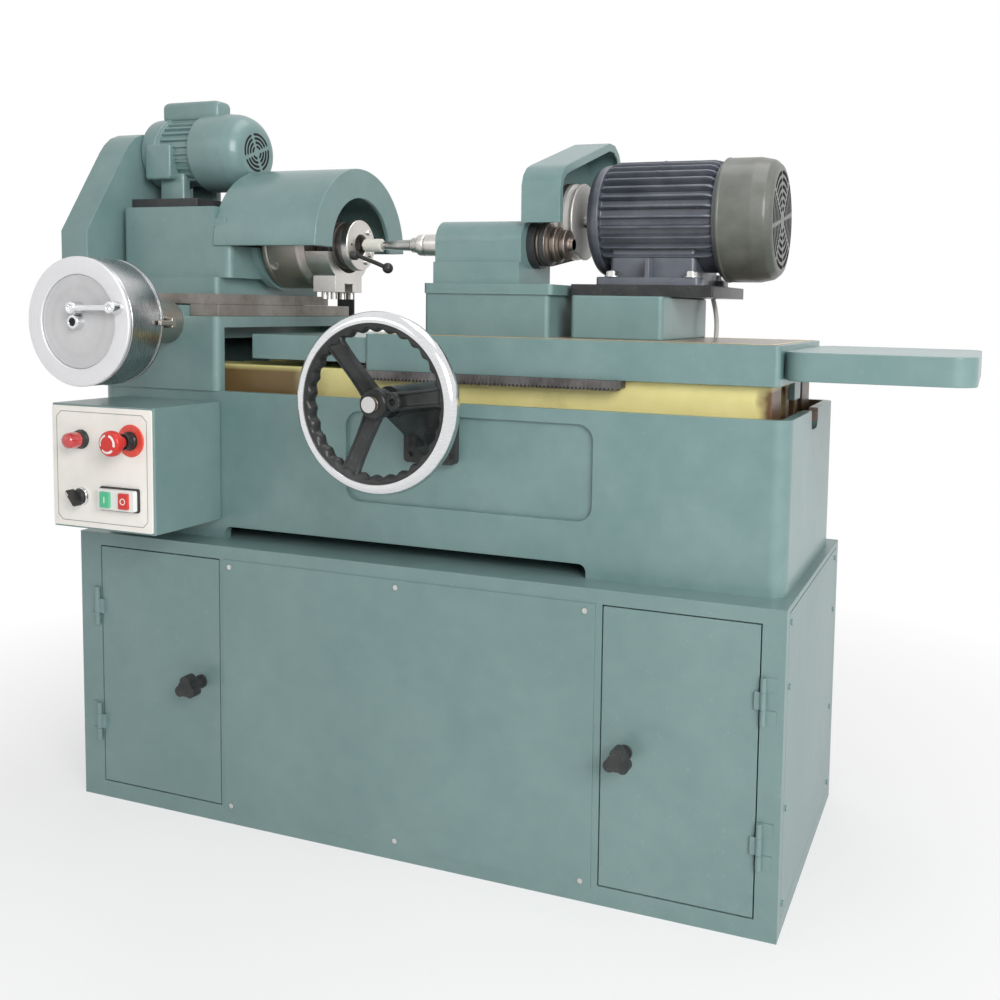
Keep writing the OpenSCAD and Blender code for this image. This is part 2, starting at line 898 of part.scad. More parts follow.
module selector_knob() {
    knob_front = panel_y - estop_ring_h - slip;
    color(black)
        place_up() {
            rod_y(sel_x, [knob_front - soft_r / 2, panel_y + stem_in], sel_z, stem_r);
            rod_y(sel_x, [knob_front - soft_r / 2, knob_front], sel_z, lamp_r - steel_t);
            slab([sel_x - cab_t, sel_x + cab_t], [knob_front - 2 * soft_r, knob_front - soft_r / 2 + steel_t],
                [sel_z - lamp_r + steel_t, sel_z + lamp_r - steel_t]);
        }
}

module pushbutton_body() {
    color(white)
        place_up()
            difference() {
                union() {
                    along_y([panel_y - twin_d, panel_y])
                        round_rect(twin_x, twin_z, steel_t);
                    slab([twin_x[0] + cab_t + slip, twin_x[1] - cab_t - slip], [panel_y - eps, panel_y + device_body_l],
                        [twin_z[0] + cab_t + slip, twin_z[1] - cab_t - slip]);
                }
                for (b = [0, 1])
                    rod_y(twin_x[0] + soft_r + steel_t * 2 + b * (twin_x[1] - twin_x[0]) / 2,
                        [panel_y - twin_d - eps, panel_y + stem_in], (twin_z[0] + twin_z[1]) / 2, push_r + run_gap);
            }
}

module push(i) {
    rod_y(twin_x[0] + soft_r + steel_t * 2 + i * (twin_x[1] - twin_x[0]) / 2,
        [panel_y - twin_d - cab_t, panel_y + stem_in - soft_r], (twin_z[0] + twin_z[1]) / 2, push_r);
}

module start_button() {
    color(green)
        place_up()
            push(0);
}

module stop_button() {
    color(red)
        place_up()
            push(1);
}

module handwheel_bracket() {
    color(black)
        place_up()
            difference() {
                union() {
                    slab_foot();
                    rod_y(hw_x, bear_y, hw_z, bear_r);
                    slab([hw_x - soft_r / 2, hw_x + soft_r / 2], [bear_y[0] + arm_w, bed_y[0] - foot_t + eps],
                        [foot_z[0] + arm_w / 2, hw_z]);
                    along_x([hw_x - soft_r, hw_x + soft_r])
                        polygon([[bed_y[0] - foot_t, foot_z[0] + soft_r], [bed_y[0] - foot_t, hw_z],
                            [bear_y[0] + soft_r, hw_z], [bear_y[0] + soft_r, hw_z - bear_r]]);
                }
                rod_y(hw_x, [bear_y[0] - eps, bear_y[1] + eps], hw_z, shaft_r + run_gap);
            }
    color(steel)
        place_up()
            for (s = foot_screw)
                rod_y(s[0], [bed_y[0] - foot_t - screw_head_h * 3, bed_y[0] - foot_t], s[1], screw_head_r);
}

module slab_foot() {
    along_y([bed_y[0] - foot_t, bed_y[0]])
        round_rect(foot_x, [foot_z[0], foot_z[1]], edge_r);
    slab([hw_x - bear_r, hw_x + bear_r], [bed_y[0] - foot_t, bed_y[0]], [foot_z[1] - edge_r, hw_z]);
}

module handwheel_rim() {
    color(chrome)
        place_up()
            translate([hw_x, hw_y, hw_z])
                rotate([90, 0, 0])
                    rotate_extrude()
                        difference() {
                            translate([wheel_r - rim_half, 0])
                                circle(r = rim_half);
                            translate([0, -wheel_r / 2])
                                square([wheel_r - rim_half, wheel_r]);
                        }
}

module handwheel_spider() {
    color(black)
        place_up()
            translate([hw_x, hw_y, hw_z])
                rotate([90, 0, 0])
                    difference() {
                        union() {
                            rotate_extrude()
                                difference() {
                                    translate([wheel_r - rim_half, 0])
                                        circle(r = rim_half);
                                    translate([wheel_r - rim_half, -wheel_r / 2])
                                        square([wheel_r, wheel_r]);
                                }
                            translate([0, 0, -hub_half])
                                cylinder(r = hub_out_r, h = 2 * hub_half);
                            for (a = [0, 120, 240])
                                rotate([0, 0, a + spoke_turn])
                                    translate([0, -spoke_w / 2, -spoke_t / 2])
                                        cube([wheel_r - rim_half * 3 / 2, spoke_w, spoke_t]);
                        }
                        translate([0, 0, -hub_half - eps])
                            cylinder(r = shaft_r, h = 2 * hub_half + 2 * eps);
                    }
}

spoke_turn = 8;

module pinion_shaft() {
    teeth = round(2 * (rack_z[0] - hw_z - slip) / gear_m);
    root = rack_z[0] - hw_z - slip - gear_m;
    color(steel)
        place_up() {
            rod_y(hw_x, [hw_y - hub_half - bolt_h, rack_y[1]], hw_z, shaft_r);
            rod_y(hw_x, [hw_y - hub_half - bolt_h, hw_y - hub_half], hw_z, bolt_r);
            rod_y(hw_x, rack_y, hw_z, root);
            for (i = [0 : teeth - 1])
                translate([hw_x, rack_y[0] + eps, hw_z])
                    rotate([0, (i + eps) * 360 / teeth, 0])
                        translate([-gear_m / 2, 0, root - gear_m])
                            cube([gear_m, rack_y[1] - rack_y[0] - 2 * eps, 2 * gear_m]);
        }
}

module table() {
    color(teal)
        place_up() {
            slab_z(table_x, table_y, [table_z, table_top], edge_r);
            slab([table_x[0] - tongue_l, table_x[0] + soft_r], tongue_y, tongue_z);
            slab(key_x[0] < table_x[0] ? [table_x[0] + soft_r, key_x[1]] : key_x, guide_y, [key_z, table_z]);
        }
}

module table_tray() {
    color(teal)
        place_up() {
            difference() {
                slab_z([table_x[1] + tray_gap, table_x[1] + tray_gap + tray_l], table_y, tray_z, tray_r);
                slab_z([table_x[1] + tray_gap + tray_t, table_x[1] + tray_gap + tray_l - tray_t],
                    [table_y[0] + tray_t, table_y[1] - tray_t], [tray_z[0] - eps, tray_z[1] - tray_t],
                    tray_r - tray_t);
            }
            slab([table_x[1], table_x[1] + tray_gap + tray_r],
                [table_y[0] + tray_r, table_y[1] - tray_r], [tray_z[1] - tray_t, tray_z[1]]);
            slab([table_x[1], table_x[1] + tray_gap + tray_t],
                [table_y[0] + tray_r, table_y[1] - tray_r], tray_z);
        }
}

module rack() {
    pitch = gear_m * PI;
    count = floor((rack_x[1] - rack_x[0]) / pitch);
    color(iron)
        place_up()
            along_y(rack_y)
                polygon(concat([[rack_x[1], rack_z[1]], [rack_x[0], rack_z[1]]],
                    [for (i = [0 : count - 1]) each [
                        [rack_x[0] + i * pitch, rack_z[0] + gear_m * 2],
                        [rack_x[0] + (i + 0.2) * pitch, rack_z[0] + gear_m * 2],
                        [rack_x[0] + (i + 0.4) * pitch, rack_z[0]],
                        [rack_x[0] + (i + 0.7) * pitch, rack_z[0]],
                        [rack_x[0] + (i + 0.9) * pitch, rack_z[0] + gear_m * 2]]],
                    [[rack_x[1], rack_z[0] + gear_m * 2]]));
}

module wheelhead_base() {
    color(teal)
        place_up() {
            slab_z(base_x, base_y, [table_top, base_z], edge_r);
            slab_z(flange_x, flange_y, [base_z, flange_z], edge_r);
        }
}

module spindle_housing() {
    color(teal)
        place_up()
            difference() {
                union() {
                    slab_x(sh_x, sh_y, [flange_z, sh_top], sh_r);
                    slab(sh_x, [sh_y[0] - soft_r / 2, sh_y[1] + soft_r / 2], [flange_z, flange_z + sh_r]);
                }
                rod_x([sh_x[0] - eps, sh_x[1] + eps], axis_y, axis_z, quill_r + run_gap);
            }
    color(black)
        place_up()
            difference() {
                rod_x(bearing_x, axis_y, axis_z, bearing_r);
                rod_x([bearing_x[0] - eps, bearing_x[1] + eps], axis_y, axis_z, quill_r + run_gap);
            }
}

module grinding_spindle() {
    color(steel)
        place_up() {
            rod_x(quill_x, axis_y, axis_z, quill_r);
            rod_x([nose_x[0], nose_x[1] + eps], axis_y, axis_z, nose_r);
            translate([arbor_x[0], axis_y, axis_z])
                rotate([0, 90, 0])
                    cylinder(r1 = arbor_r[0], r2 = arbor_r[1], h = arbor_x[1] - arbor_x[0]);
            rod_x([stone_x[0] - steel_t * 2, arbor_x[0] + eps], axis_y, axis_z, stone_hole_r);
            rod_x([stone_x[0] - steel_t * 2, stone_x[0]], axis_y, axis_z, edge_r);
            rod_x([quill_x[1] - eps, sp_x[4]], axis_y, axis_z, sp_r[3]);
        }
}

module grinding_wheel() {
    color(white)
        place_up()
            difference() {
                rod_x([stone_x[0], stone_x[1] - eps * 2], axis_y, axis_z, stone_r);
                rod_x([stone_x[0] - eps, stone_x[1]], axis_y, axis_z, stone_hole_r);
            }
}

module spindle_pulley() {
    color(iron)
        place_up()
            difference() {
                union()
                    for (i = [0, 1, 2]) {
                        rod_x([sp_x[i], sp_x[i + 1]], axis_y, axis_z, sp_r[i] - belt_t);
                        rod_x([sp_x[i], sp_x[i] + steel_t * 2], axis_y, axis_z, sp_r[i]);
                        rod_x([sp_x[i + 1] - steel_t, sp_x[i + 1]], axis_y, axis_z, sp_r[i]);
                    }
                rod_x([sp_x[0] - eps, sp_x[3] + eps], axis_y, axis_z, sp_r[3]);
            }
}

module motor_stand() {
    color(teal)
        place_up()
            difference() {
                slab_z(stand_x, stand_y, [table_top, stand_z], edge_r);
                slab([stand_x[0] + soft_r, stand_x[1] - soft_r], [stand_y[0] + soft_r, stand_y[1] + eps],
                    [table_top - eps, stand_z - soft_r]);
            }
}

module motor_plate() {
    color(black)
        place_up()
        {
            slab(plate_x, plate_y, [stand_z, gm_foot_z]);
            for (bx = bolt_x)
                for (by = bolt_y) {
                    rod_z(bx, by, [gm_foot_z - eps, gm_foot_z + gm_foot_t + steel_t], screw_head_r - slip);
                    rod_z(bx, by, [gm_foot_z + gm_foot_t, gm_foot_z + gm_foot_t + screw_head_h * 4], edge_r);
                }
        }
}

module motor_frame() {
    color(navy)
        place_up()
            difference() {
                union() {
                    rod_x(gm_x, gm_y, gm_z, gm_core_r);
                    rod_x([bell_x, gm_x[0]], gm_y, gm_z, gm_core_r + steel_t * 2);
                    rod_x([gm_x[1] - steel_t * 2, gm_x[1] + soft_r], gm_y, gm_z, fan_r - cab_t - slip);
                    for (i = [0 : gm_fins - 1])
                        translate([gm_x[0] + steel_t, gm_y, gm_z])
                            rotate([(i + eps) * 360 / gm_fins, 0, 0])
                                translate([0, gm_core_r - fin_t, -fin_t / 2])
                                    cube([gm_l - 2 * steel_t, gm_r - gm_core_r + fin_t, fin_t]);
                    for (fy = gm_foot_y)
                        slab(gm_foot_x, fy, [gm_foot_z, gm_foot_z + gm_foot_t]);
                    slab([gm_foot_x[0] + soft_r, gm_foot_x[1] - soft_r], [gm_foot_y[0][0] + soft_r, gm_foot_y[0][1]],
                        [gm_foot_z, gm_z - gm_core_r * 3 / 5]);
                    slab([gm_foot_x[0] + soft_r, gm_foot_x[1] - soft_r], [gm_foot_y[1][0], gm_foot_y[1][1] - soft_r],
                        [gm_foot_z, gm_z - gm_core_r * 3 / 5]);
                }
                rod_x([bell_x - eps, gm_x[0] + soft_r], gm_y, gm_z, gm_shaft_r + run_gap);
                for (bx = bolt_x)
                    for (by = bolt_y)
                        rod_z(bx, by, [gm_foot_z + gm_foot_t, gm_foot_z + gm_foot_h * 2], screw_head_r * 3);
                for (bx = bolt_x)
                    for (by = bolt_y)
                        rod_z(bx, by, [gm_foot_z - eps, gm_foot_z + gm_foot_t + eps], screw_head_r);
            }
}

module motor_fan_cover() {
    color(olive)
        place_up()
            translate([fan_x[0], gm_y, gm_z])
                rotate([0, 90, 0])
                    rotate_extrude()
                        difference() {
                            union() {
                                square([fan_r, fan_l - fan_round]);
                                square([fan_r - fan_round, fan_l]);
                                translate([fan_r - fan_round, fan_l - fan_round])
                                    circle(r = fan_round);
                            }
                            translate([0, -eps])
                                square([fan_r - cab_t, fan_l - fan_round]);
                            translate([-fan_r, -fan_r])
                                square([fan_r, 3 * fan_r]);
                        }
}

module motor_pulley() {
    color(steel)
        place_up() {
            rod_x([mp_x[0], gm_x[0] + soft_r - eps], gm_y, gm_z, gm_shaft_r);
            rod_x(mp_x, gm_y, gm_z, mp_r - belt_t);
            rod_x([mp_x[0], belt_x[0] - slip], gm_y, gm_z, mp_r);
            rod_x([belt_x[1] + slip, mp_x[1]], gm_y, gm_z, mp_r);
        }
}

module tangent_loop(c0, r0, c1, r1) {
    d = norm(c1 - c0);
    a = atan2(c1[1] - c0[1], c1[0] - c0[0]);
    b = acos((r0 - r1) / d);
    translate(c0)
        circle(r = r0);
    translate(c1)
        circle(r = r1);
    polygon([c0 + r0 * [cos(a + b), sin(a + b)], c0 + r0 * [cos(a - b), sin(a - b)],
        c1 + r1 * [cos(a - b), sin(a - b)], c1 + r1 * [cos(a + b), sin(a + b)]]);
}

module drive_belt() {
    rs = sp_r[0] - belt_t + slip;
    rm = mp_r - belt_t + slip;
    color(black)
        place_up()
            along_x(belt_x)
                difference() {
                    tangent_loop([axis_y, axis_z], rs + belt_t, [gm_y, gm_z], rm + belt_t);
                    tangent_loop([axis_y, axis_z], rs, [gm_y, gm_z], rm);
                }
}

module belt_guard() {
    n = len(bg_prof);
    color(teal)
        place_up() {
            along_x(bg_x)
                polygon(concat(bg_prof, [for (i = [n - 1 : -1 : 0]) bg_in[i]]));
            difference() {
                along_x([bg_x[0], bg_x[0] + bg_t])
                    polygon(bg_prof);
                rod_x([bg_x[0] - eps, bg_x[0] + bg_t + eps], axis_y, axis_z, bearing_r + steel_t);
            }
        }
}

module saddle() {
    color(iron)
        place_up() {
            slab(saddle_x, saddle_y, [saddle_z, saddle_z + saddle_t]);
            slab([rail_x[0][1] + slip, rail_x[1][0] - slip], key_y, [col_top + slip, saddle_z]);
            difference() {
                slab([screw_x - nut_half, screw_x + nut_half], nut_y, [screw_z - soft_r - steel_t, col_top + slip]);
                rod_y(screw_x, [nut_y[0] - eps, nut_y[1] + eps], screw_z, screw_r + run_gap);
            }
        }
}

module headstock_housing() {
    color(teal)
        place_up()
            difference() {
                union() {
                    slab_z(low_x, low_y, [saddle_z + saddle_t, house_z], edge_r);
                    slab_z(house_x, house_y, [house_z, house_top], soft_r);
                    rod_x([house_x[1] - eps, house_x[1] + cap_l], axis_y, axis_z, cap_r);
                }
                rod_x([low_x[0] - soft_r, face_x[0] + eps], axis_y, axis_z, ws_r + run_gap);
                intersection() {
                    rod_x([hood_x[0], hood_x[1]], axis_y, hood_cut, hood_r);
                    slab([hood_x[0], hood_x[1]], [0, cab_w], [hood_cut, house_top + hood_r]);
                }
                slab([hood_x[0], house_x[1] + eps], [0, cab_w], [hood_cut + hood_r / 3, house_top + eps]);
            }
}

module hood() {
    color(teal)
        place_up()
            along_x(hood_x)
                difference() {
                    translate([axis_y, hood_cut])
                        circle(r = hood_r);
                    translate([axis_y, hood_cut])
                        circle(r = hood_r - hood_t);
                    translate([0, 0])
                        square([cab_w, hood_cut]);
                }
    color(teal)
        place_up()
            along_x([hood_x[1] - hood_end_t, hood_x[1]])
                difference() {
                    translate([axis_y, hood_cut])
                        circle(r = hood_r - eps);
                    translate([axis_y, hood_cut])
                        circle(r = hood_hole_r);
                    translate([0, 0])
                        square([cab_w, hood_cut]);
                }
    color(teal)
        place_up()
            along_x([hood_x[0], hood_x[0] + hood_t])
                difference() {
                    translate([axis_y, hood_cut])
                        circle(r = hood_r - eps);
                    translate([axis_y, hood_cut])
                        circle(r = cap_r + soft_r);
                    translate([0, 0])
                        square([cab_w, hood_cut]);
                }
}

module work_motor_plate() {
    color(iron)
        place_up()
            slab(wmp_x, wmp_y, [house_top, house_top + wmp_t]);
}

module work_motor() {
    color(teal)
        place_up()
            difference() {
                union() {
                    rod_x([wm_x[0], wm_cover_x], wm_y, wm_z, wm_r - steel_t * 2);
                    rod_x([wm_cover_x, wm_x[1] - soft_r], wm_y, wm_z, wm_r);
                    translate([wm_x[1] - soft_r, wm_y, wm_z])
                        rotate([0, 90, 0])
                            cylinder(r1 = wm_r, r2 = wm_r - soft_r, h = soft_r);
                    for (fy = wm_foot_y)
                        slab(wm_foot_x, fy, [house_top + wmp_t, house_top + wmp_t + wm_foot_t]);
                    slab([wm_foot_x[0] + soft_r, wm_foot_x[1] - soft_r], [wm_foot_y[0][0] + soft_r, wm_foot_y[0][1]],
                        [house_top + wmp_t, wm_z - wm_r / 2]);
                    slab([wm_foot_x[0] + soft_r, wm_foot_x[1] - soft_r], [wm_foot_y[1][0], wm_foot_y[1][1] - soft_r],
                        [house_top + wmp_t, wm_z - wm_r / 2]);
                    rod_x(cap_x, wm_y, cap_z, cap_box_r);
                    slab([cap_x[0] + soft_r, cap_x[1] - soft_r], [wm_y - cap_box_r, wm_y + cap_box_r],
                        [wm_z, cap_z]);
                }
                rod_x([wm_x[0] - eps, wm_x[0] + soft_r], wm_y, wm_z, wm_shaft_r + run_gap);
            }
}

module work_motor_pulley() {
    color(steel)
        place_up() {
            rod_x([wm_pulley_x[0], wm_x[0] + soft_r - eps], wm_y, wm_z, wm_shaft_r);
            rod_x(wm_pulley_x, wm_y, wm_z, wm_pulley_r);
        }
}

module left_belt_guard() {
    color(teal)
        place_up()
            difference() {
                along_x(lg_x)
                    polygon(lg_prof);
                along_x([lg_x[0] + lg_t, lg_x[1] - lg_t])
                    polygon(lg_in);
                rod_x([lg_x[1] - lg_t - eps, lg_x[1] + eps], wm_y, wm_z, wm_shaft_r + lg_t);
                rod_x([lg_x[1] - lg_t - eps, lg_x[1] + eps], axis_y, axis_z, ws_r + lg_t);
            }
}

module work_spindle() {
    color(steel)
        place_up()
            difference() {
                union() {
                    rod_x(ws_x, axis_y, axis_z, ws_r);
                    rod_x(ws_pulley_x, axis_y, axis_z, ws_pulley_r);
                }
                rod_x([ws_x[0] - eps, ws_x[1] + eps], axis_y, axis_z, ws_bore_r);
            }
}

module faceplate() {
    color(steel)
        place_up()
            difference() {
                union() {
                    rod_x([face_x[0], face_x[1] - soft_r], axis_y, axis_z, face_r);
                    rod_x([face_x[1] - soft_r, face_x[1]], axis_y, axis_z, face_r - cab_t);
                    rod_x([face_x[1] - eps, face_x[1] + face_neck_l], axis_y, axis_z, face_neck_r);
                }
                rod_x([face_x[0] - eps, face_x[1] + face_neck_l + eps], axis_y, axis_z, ws_bore_r);
                for (a = [30, 150, 270])
                    translate([0, axis_y, axis_z])
                        rotate([a, 0, 0])
                            rod_z(face_x[0] + soft_r * 2, 0, [face_r - soft_r, face_r + eps], knob_stem_r);
            }
}

module rod_clamp() {
    color(chrome)
        place_up() {
            along_x(clamp_x)
                difference() {
                    translate([axis_y, axis_z])
                        circle(r = clamp_r[1]);
                    translate([axis_y, axis_z])
                        circle(r = clamp_r[0]);
                    translate([0, axis_z - clamp_foot[0] / 2])
                        square([cab_w, clamp_r[1] * 2]);
                }
            for (s = [-1, 1])
                slab([clamp_x[0], clamp_x[1]],
                    [axis_y + s * clamp_foot[0] - clamp_foot[1], axis_y + s * clamp_foot[0] + clamp_foot[1]],
                    [axis_z - clamp_r[1] - clamp_foot[1], axis_z - clamp_r[0] - cab_t]);
            for (s = [-1, 1])
                for (bx = [clamp_x[0] + clamp_foot[1], clamp_x[1] - soft_r])
                    rod_z(bx, axis_y + s * clamp_foot[0],
                        [axis_z - clamp_r[1] - clamp_foot[1] - soft_r, axis_z - clamp_r[1] - clamp_foot[1] + eps],
                        clamp_bolt_r);
        }
}

module ring_plate() {
    color(steel)
        place_up()
            difference() {
                union() {
                    rod_x(hub_x, axis_y, axis_z, hub_r - hub_groove);
                    for (i = [0, 1, 2])
                        rod_x([hub_x[0] + i * (hub_x[1] - hub_x[0]) / 3, hub_x[0] + i * (hub_x[1] - hub_x[0]) / 3 + cab_t],
                            axis_y, axis_z, hub_r);
                    rod_x(ring_x, axis_y, axis_z, ring_r);
                }
                rod_x([hub_x[0] - eps, ring_x[1] + eps], axis_y, axis_z, bore_r);
                rod_x([lever_x[0] - lever_pin_l - eps, ring_x[1] + eps], lever_y - soft_r, lever_z - soft_r,
                    lever_pin_r + run_gap);
            }
}

module ball_lever() {
    tip = [lever_x[1] - cab_t, lever_y, lever_z];
    v = lever_end - tip;
    color(black)
        place_up() {
            rod_x([lever_x[0] + slip, lever_x[1]], lever_y - soft_r, lever_z - soft_r, lever_boss_r);
            rod_x([lever_x[0] - lever_pin_l, lever_x[1]], lever_y - soft_r, lever_z - soft_r, lever_pin_r);
            translate([tip[0], tip[1] - soft_r, tip[2] - soft_r])
                rotate([0, acos(v[2] / norm(v)), atan2(v[1], v[0])])
                    cylinder(r = lever_r, h = norm(v));
            translate([lever_end[0], lever_end[1] - soft_r, lever_end[2] - soft_r])
                sphere(r = lever_ball_r);
        }
}

module dial_bracket() {
    color(black)
        place_up()
            difference() {
                union() {
                    rod_y(screw_x, [dial_back_y[0], dial_back_y[0] + soft_r * 2], screw_z, dial_back_r);
                    rod_y(screw_x, dial_back_y, screw_z, dial_back_small);
                    slab([screw_x + dial_back_r, screw_x + dial_r + edge_r], [dial_back_y[0], dial_back_y[0] + edge_r],
                        [screw_z - edge_r, screw_z + edge_r]);
                    slab([screw_x, screw_x + dial_back_r + edge_r], [dial_back_y[0], dial_back_y[0] + edge_r],
                        [screw_z - edge_r, screw_z + edge_r]);
                    slab([screw_x + dial_r + slip * 5, screw_x + dial_r + edge_r],
                        [dial_back_y[0] - edge_r * 3, dial_back_y[0] + edge_r], [screw_z - cab_t, screw_z + cab_t]);
                }
                rod_y(screw_x, [dial_back_y[0] - eps, dial_back_y[1] + eps], screw_z, screw_r + run_gap);
            }
}

module dial_drum() {
    color(chrome)
        place_up()
            difference() {
                union() {
                    rod_y(screw_x, dial_y, screw_z, dial_r);
                    rod_y(screw_x, [dial_y[0] - dial_hub_l, dial_y[0] + dial_recess + eps], screw_z, dial_hub_r);
                    rod_y(screw_x - dial_hub_r, [dial_y[0] - crank_gap, dial_y[0] + dial_recess + eps],
                        screw_z + crank_z * 3 / 2, crank_r + steel_t);
                    rod_y(screw_x + crank_x, [dial_y[0] - crank_gap, dial_y[0] + dial_recess + eps],
                        screw_z + crank_z * 3 / 2, crank_r);
                    rod_x([screw_x - dial_hub_r, screw_x + crank_x], dial_y[0] - crank_gap + crank_r / 2,
                        screw_z + crank_z * 3 / 2, crank_r);
                }
                difference() {
                    rod_y(screw_x, [dial_y[0] - eps, dial_y[0] + dial_recess], screw_z, dial_r - dial_rim);
                    rod_y(screw_x, [dial_y[0] - dial_hub_l, dial_y[0] + dial_recess + eps], screw_z, dial_hub_r);
                    rod_y(screw_x - dial_hub_r, [dial_y[0] - crank_gap, dial_y[0] + dial_recess + eps],
                        screw_z + crank_z * 3 / 2, crank_r + steel_t);
                    rod_y(screw_x + crank_x, [dial_y[0] - crank_gap, dial_y[0] + dial_recess + eps],
                        screw_z + crank_z * 3 / 2, crank_r);
                }
                rod_y(screw_x, [dial_y[0] - dial_hub_l - eps, dial_y[0] - dial_hub_l / 2], screw_z, crank_r);
                rod_y(screw_x, [dial_y[0] + dial_recess + soft_r, dial_y[1] + eps], screw_z, screw_r);
            }
}

module feed_screw() {
    color(steel)
        place_up() {
            rod_y(screw_x, [dial_y[0] + dial_recess + soft_r, col_y[1] + edge_r], screw_z, screw_r);
        }
}

cabinet();
cabinet_front();
cabinet_inner();
centre_panel();
panel_screws();
side_panel();
hinge_leaves();
left_door();
right_door();
left_knob();
right_knob();
bed();
bed_ways();
column();
cross_rails();
rear_plate();
control_box();
control_faceplate();
pilot_lamp();
estop_base();
estop_button();
selector_base();
selector_knob();
pushbutton_body();
start_button();
stop_button();
handwheel_bracket();
handwheel_rim();
handwheel_spider();
pinion_shaft();
table();
table_tray();
rack();
wheelhead_base();
spindle_housing();
grinding_spindle();
grinding_wheel();
spindle_pulley();
motor_stand();
motor_plate();
motor_frame();
motor_fan_cover();
motor_pulley();
drive_belt();
belt_guard();
saddle();
headstock_housing();
hood();
work_motor_plate();
work_motor();
work_motor_pulley();
left_belt_guard();
work_spindle();
faceplate();
rod_clamp();
ring_plate();
ball_lever();
dial_bracket();
dial_drum();
feed_screw();
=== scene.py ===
import json
import math

import bmesh
import bpy
import numpy as np
from mathutils import Matrix, Vector


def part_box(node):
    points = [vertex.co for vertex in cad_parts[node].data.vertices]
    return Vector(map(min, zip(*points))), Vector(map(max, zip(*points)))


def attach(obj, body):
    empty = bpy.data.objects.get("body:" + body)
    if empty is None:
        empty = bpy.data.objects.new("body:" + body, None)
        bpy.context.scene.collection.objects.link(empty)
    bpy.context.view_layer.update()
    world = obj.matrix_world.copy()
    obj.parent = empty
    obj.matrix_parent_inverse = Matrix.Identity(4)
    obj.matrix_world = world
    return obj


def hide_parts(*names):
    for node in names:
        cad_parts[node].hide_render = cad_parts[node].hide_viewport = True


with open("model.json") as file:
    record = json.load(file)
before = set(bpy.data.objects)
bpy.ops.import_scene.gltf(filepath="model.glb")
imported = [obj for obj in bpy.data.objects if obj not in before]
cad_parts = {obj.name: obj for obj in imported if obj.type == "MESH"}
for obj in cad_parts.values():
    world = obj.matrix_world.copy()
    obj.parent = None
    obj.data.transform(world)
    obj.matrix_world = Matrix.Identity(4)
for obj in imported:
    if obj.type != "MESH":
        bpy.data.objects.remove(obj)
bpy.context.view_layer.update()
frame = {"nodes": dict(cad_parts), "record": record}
bodies_of = {}
for body_name, node_names in frame["record"]["behaviour"]["bodies"].items():
    for node_name in node_names:
        bodies_of[node_name] = body_name

CAB_MID = np.array([0.600, 0.240, 0.0])


def at(x, y, z):
    """A place written in millimetres from the cabinet's front left bottom corner, in metres of the
    frame."""
    return np.array([x, y, z]) / 1000.0 - CAB_MID


def edge_of(node_name, axis, side=0):
    """Where a CAD node's box starts (side 0) or ends (side 1) along an axis, in the same millimetres."""
    return round(float(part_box(node_name)[side][axis] + CAB_MID[axis]) * 1000.0, 1)


def middle(node_name):
    """The middle of a CAD node's box, in the same millimetres."""
    return [round(0.5 * (edge_of(node_name, axis) + edge_of(node_name, axis, 1)), 1) for axis in range(3)]


def on_axis(x, axis):
    """A place at x on a line that runs along X through the middle of axis."""
    return (x, axis[1], axis[2])


# The driving places, read from the CAD nodes that stand on them
SPINDLE = middle("grinding_wheel")
MOTOR = middle("motor_fan_cover")
WORK_MOTOR = middle("work_motor_pulley")
WHEEL = middle("handwheel_spider")
DIAL = (middle("feed_screw")[0], edge_of("dial_drum", 1) + 12.0, middle("feed_screw")[2])
PANEL_Y = edge_of("control_faceplate", 1)


def new_node(tree, kind, sockets=None, **settings):
    """Adds a shader node, sets its properties, and links or fills its sockets."""
    made = tree.nodes.new(kind)
    for name, value in settings.items():
        setattr(made, name, value)
    for name, value in (sockets or {}).items():
        if isinstance(value, bpy.types.NodeSocket):
            tree.links.new(value, made.inputs[name])
        else:
            made.inputs[name].default_value = value
    return made


def new_group(name, takes, gives):
    """An empty shader node group with named sockets: takes and gives map a name to (kind, default)."""
    tree = bpy.data.node_groups.new(name, "ShaderNodeTree")
    kinds = {"colour": "NodeSocketColor", "number": "NodeSocketFloat", "vector": "NodeSocketVector"}
    for label, (kind, default) in takes.items():
        socket = tree.interface.new_socket(name=label, in_out="INPUT", socket_type=kinds[kind])
        if default is not None:
            socket.default_value = default
    for label, kind in gives.items():
        tree.interface.new_socket(name=label, in_out="OUTPUT", socket_type=kinds[kind])
    return tree, tree.nodes.new("NodeGroupInput"), tree.nodes.new("NodeGroupOutput")


def calc(tree, way, *values):
    """The number that one maths node makes of these values."""
    return new_node(tree, "ShaderNodeMath", dict(enumerate(values)), operation=way).outputs[0]


def scaled(tree, value, factor, offset=0.0):
    """value times factor plus offset."""
    return calc(tree, "MULTIPLY_ADD", value, factor, offset)


def faded(tree, value, low, high, to_low=0.0, to_high=1.0):
    """value taken from low..high to to_low..to_high, clamped."""
    return new_node(tree, "ShaderNodeMapRange", {"Value": value, "From Min": low, "From Max": high,
            "To Min": to_low, "To Max": to_high}).outputs["Result"]


def blended(tree, amount, first, second, way="MIX"):
    """Two colours mixed by amount."""
    mix = tree.nodes.new("ShaderNodeMix")
    mix.data_type = "RGBA"
    mix.blend_type = way
    for index, value in ((0, amount), (6, first), (7, second)):
        if isinstance(value, bpy.types.NodeSocket):
            tree.links.new(value, mix.inputs[index])
        else:
            mix.inputs[index].default_value = value
    return mix.outputs[2]


def noise(tree, place, scale, detail=3.0, rough=0.55):
    return new_node(tree, "ShaderNodeTexNoise", {"Vector": place, "Scale": scale, "Detail": detail,
            "Roughness": rough}).outputs["Fac"]


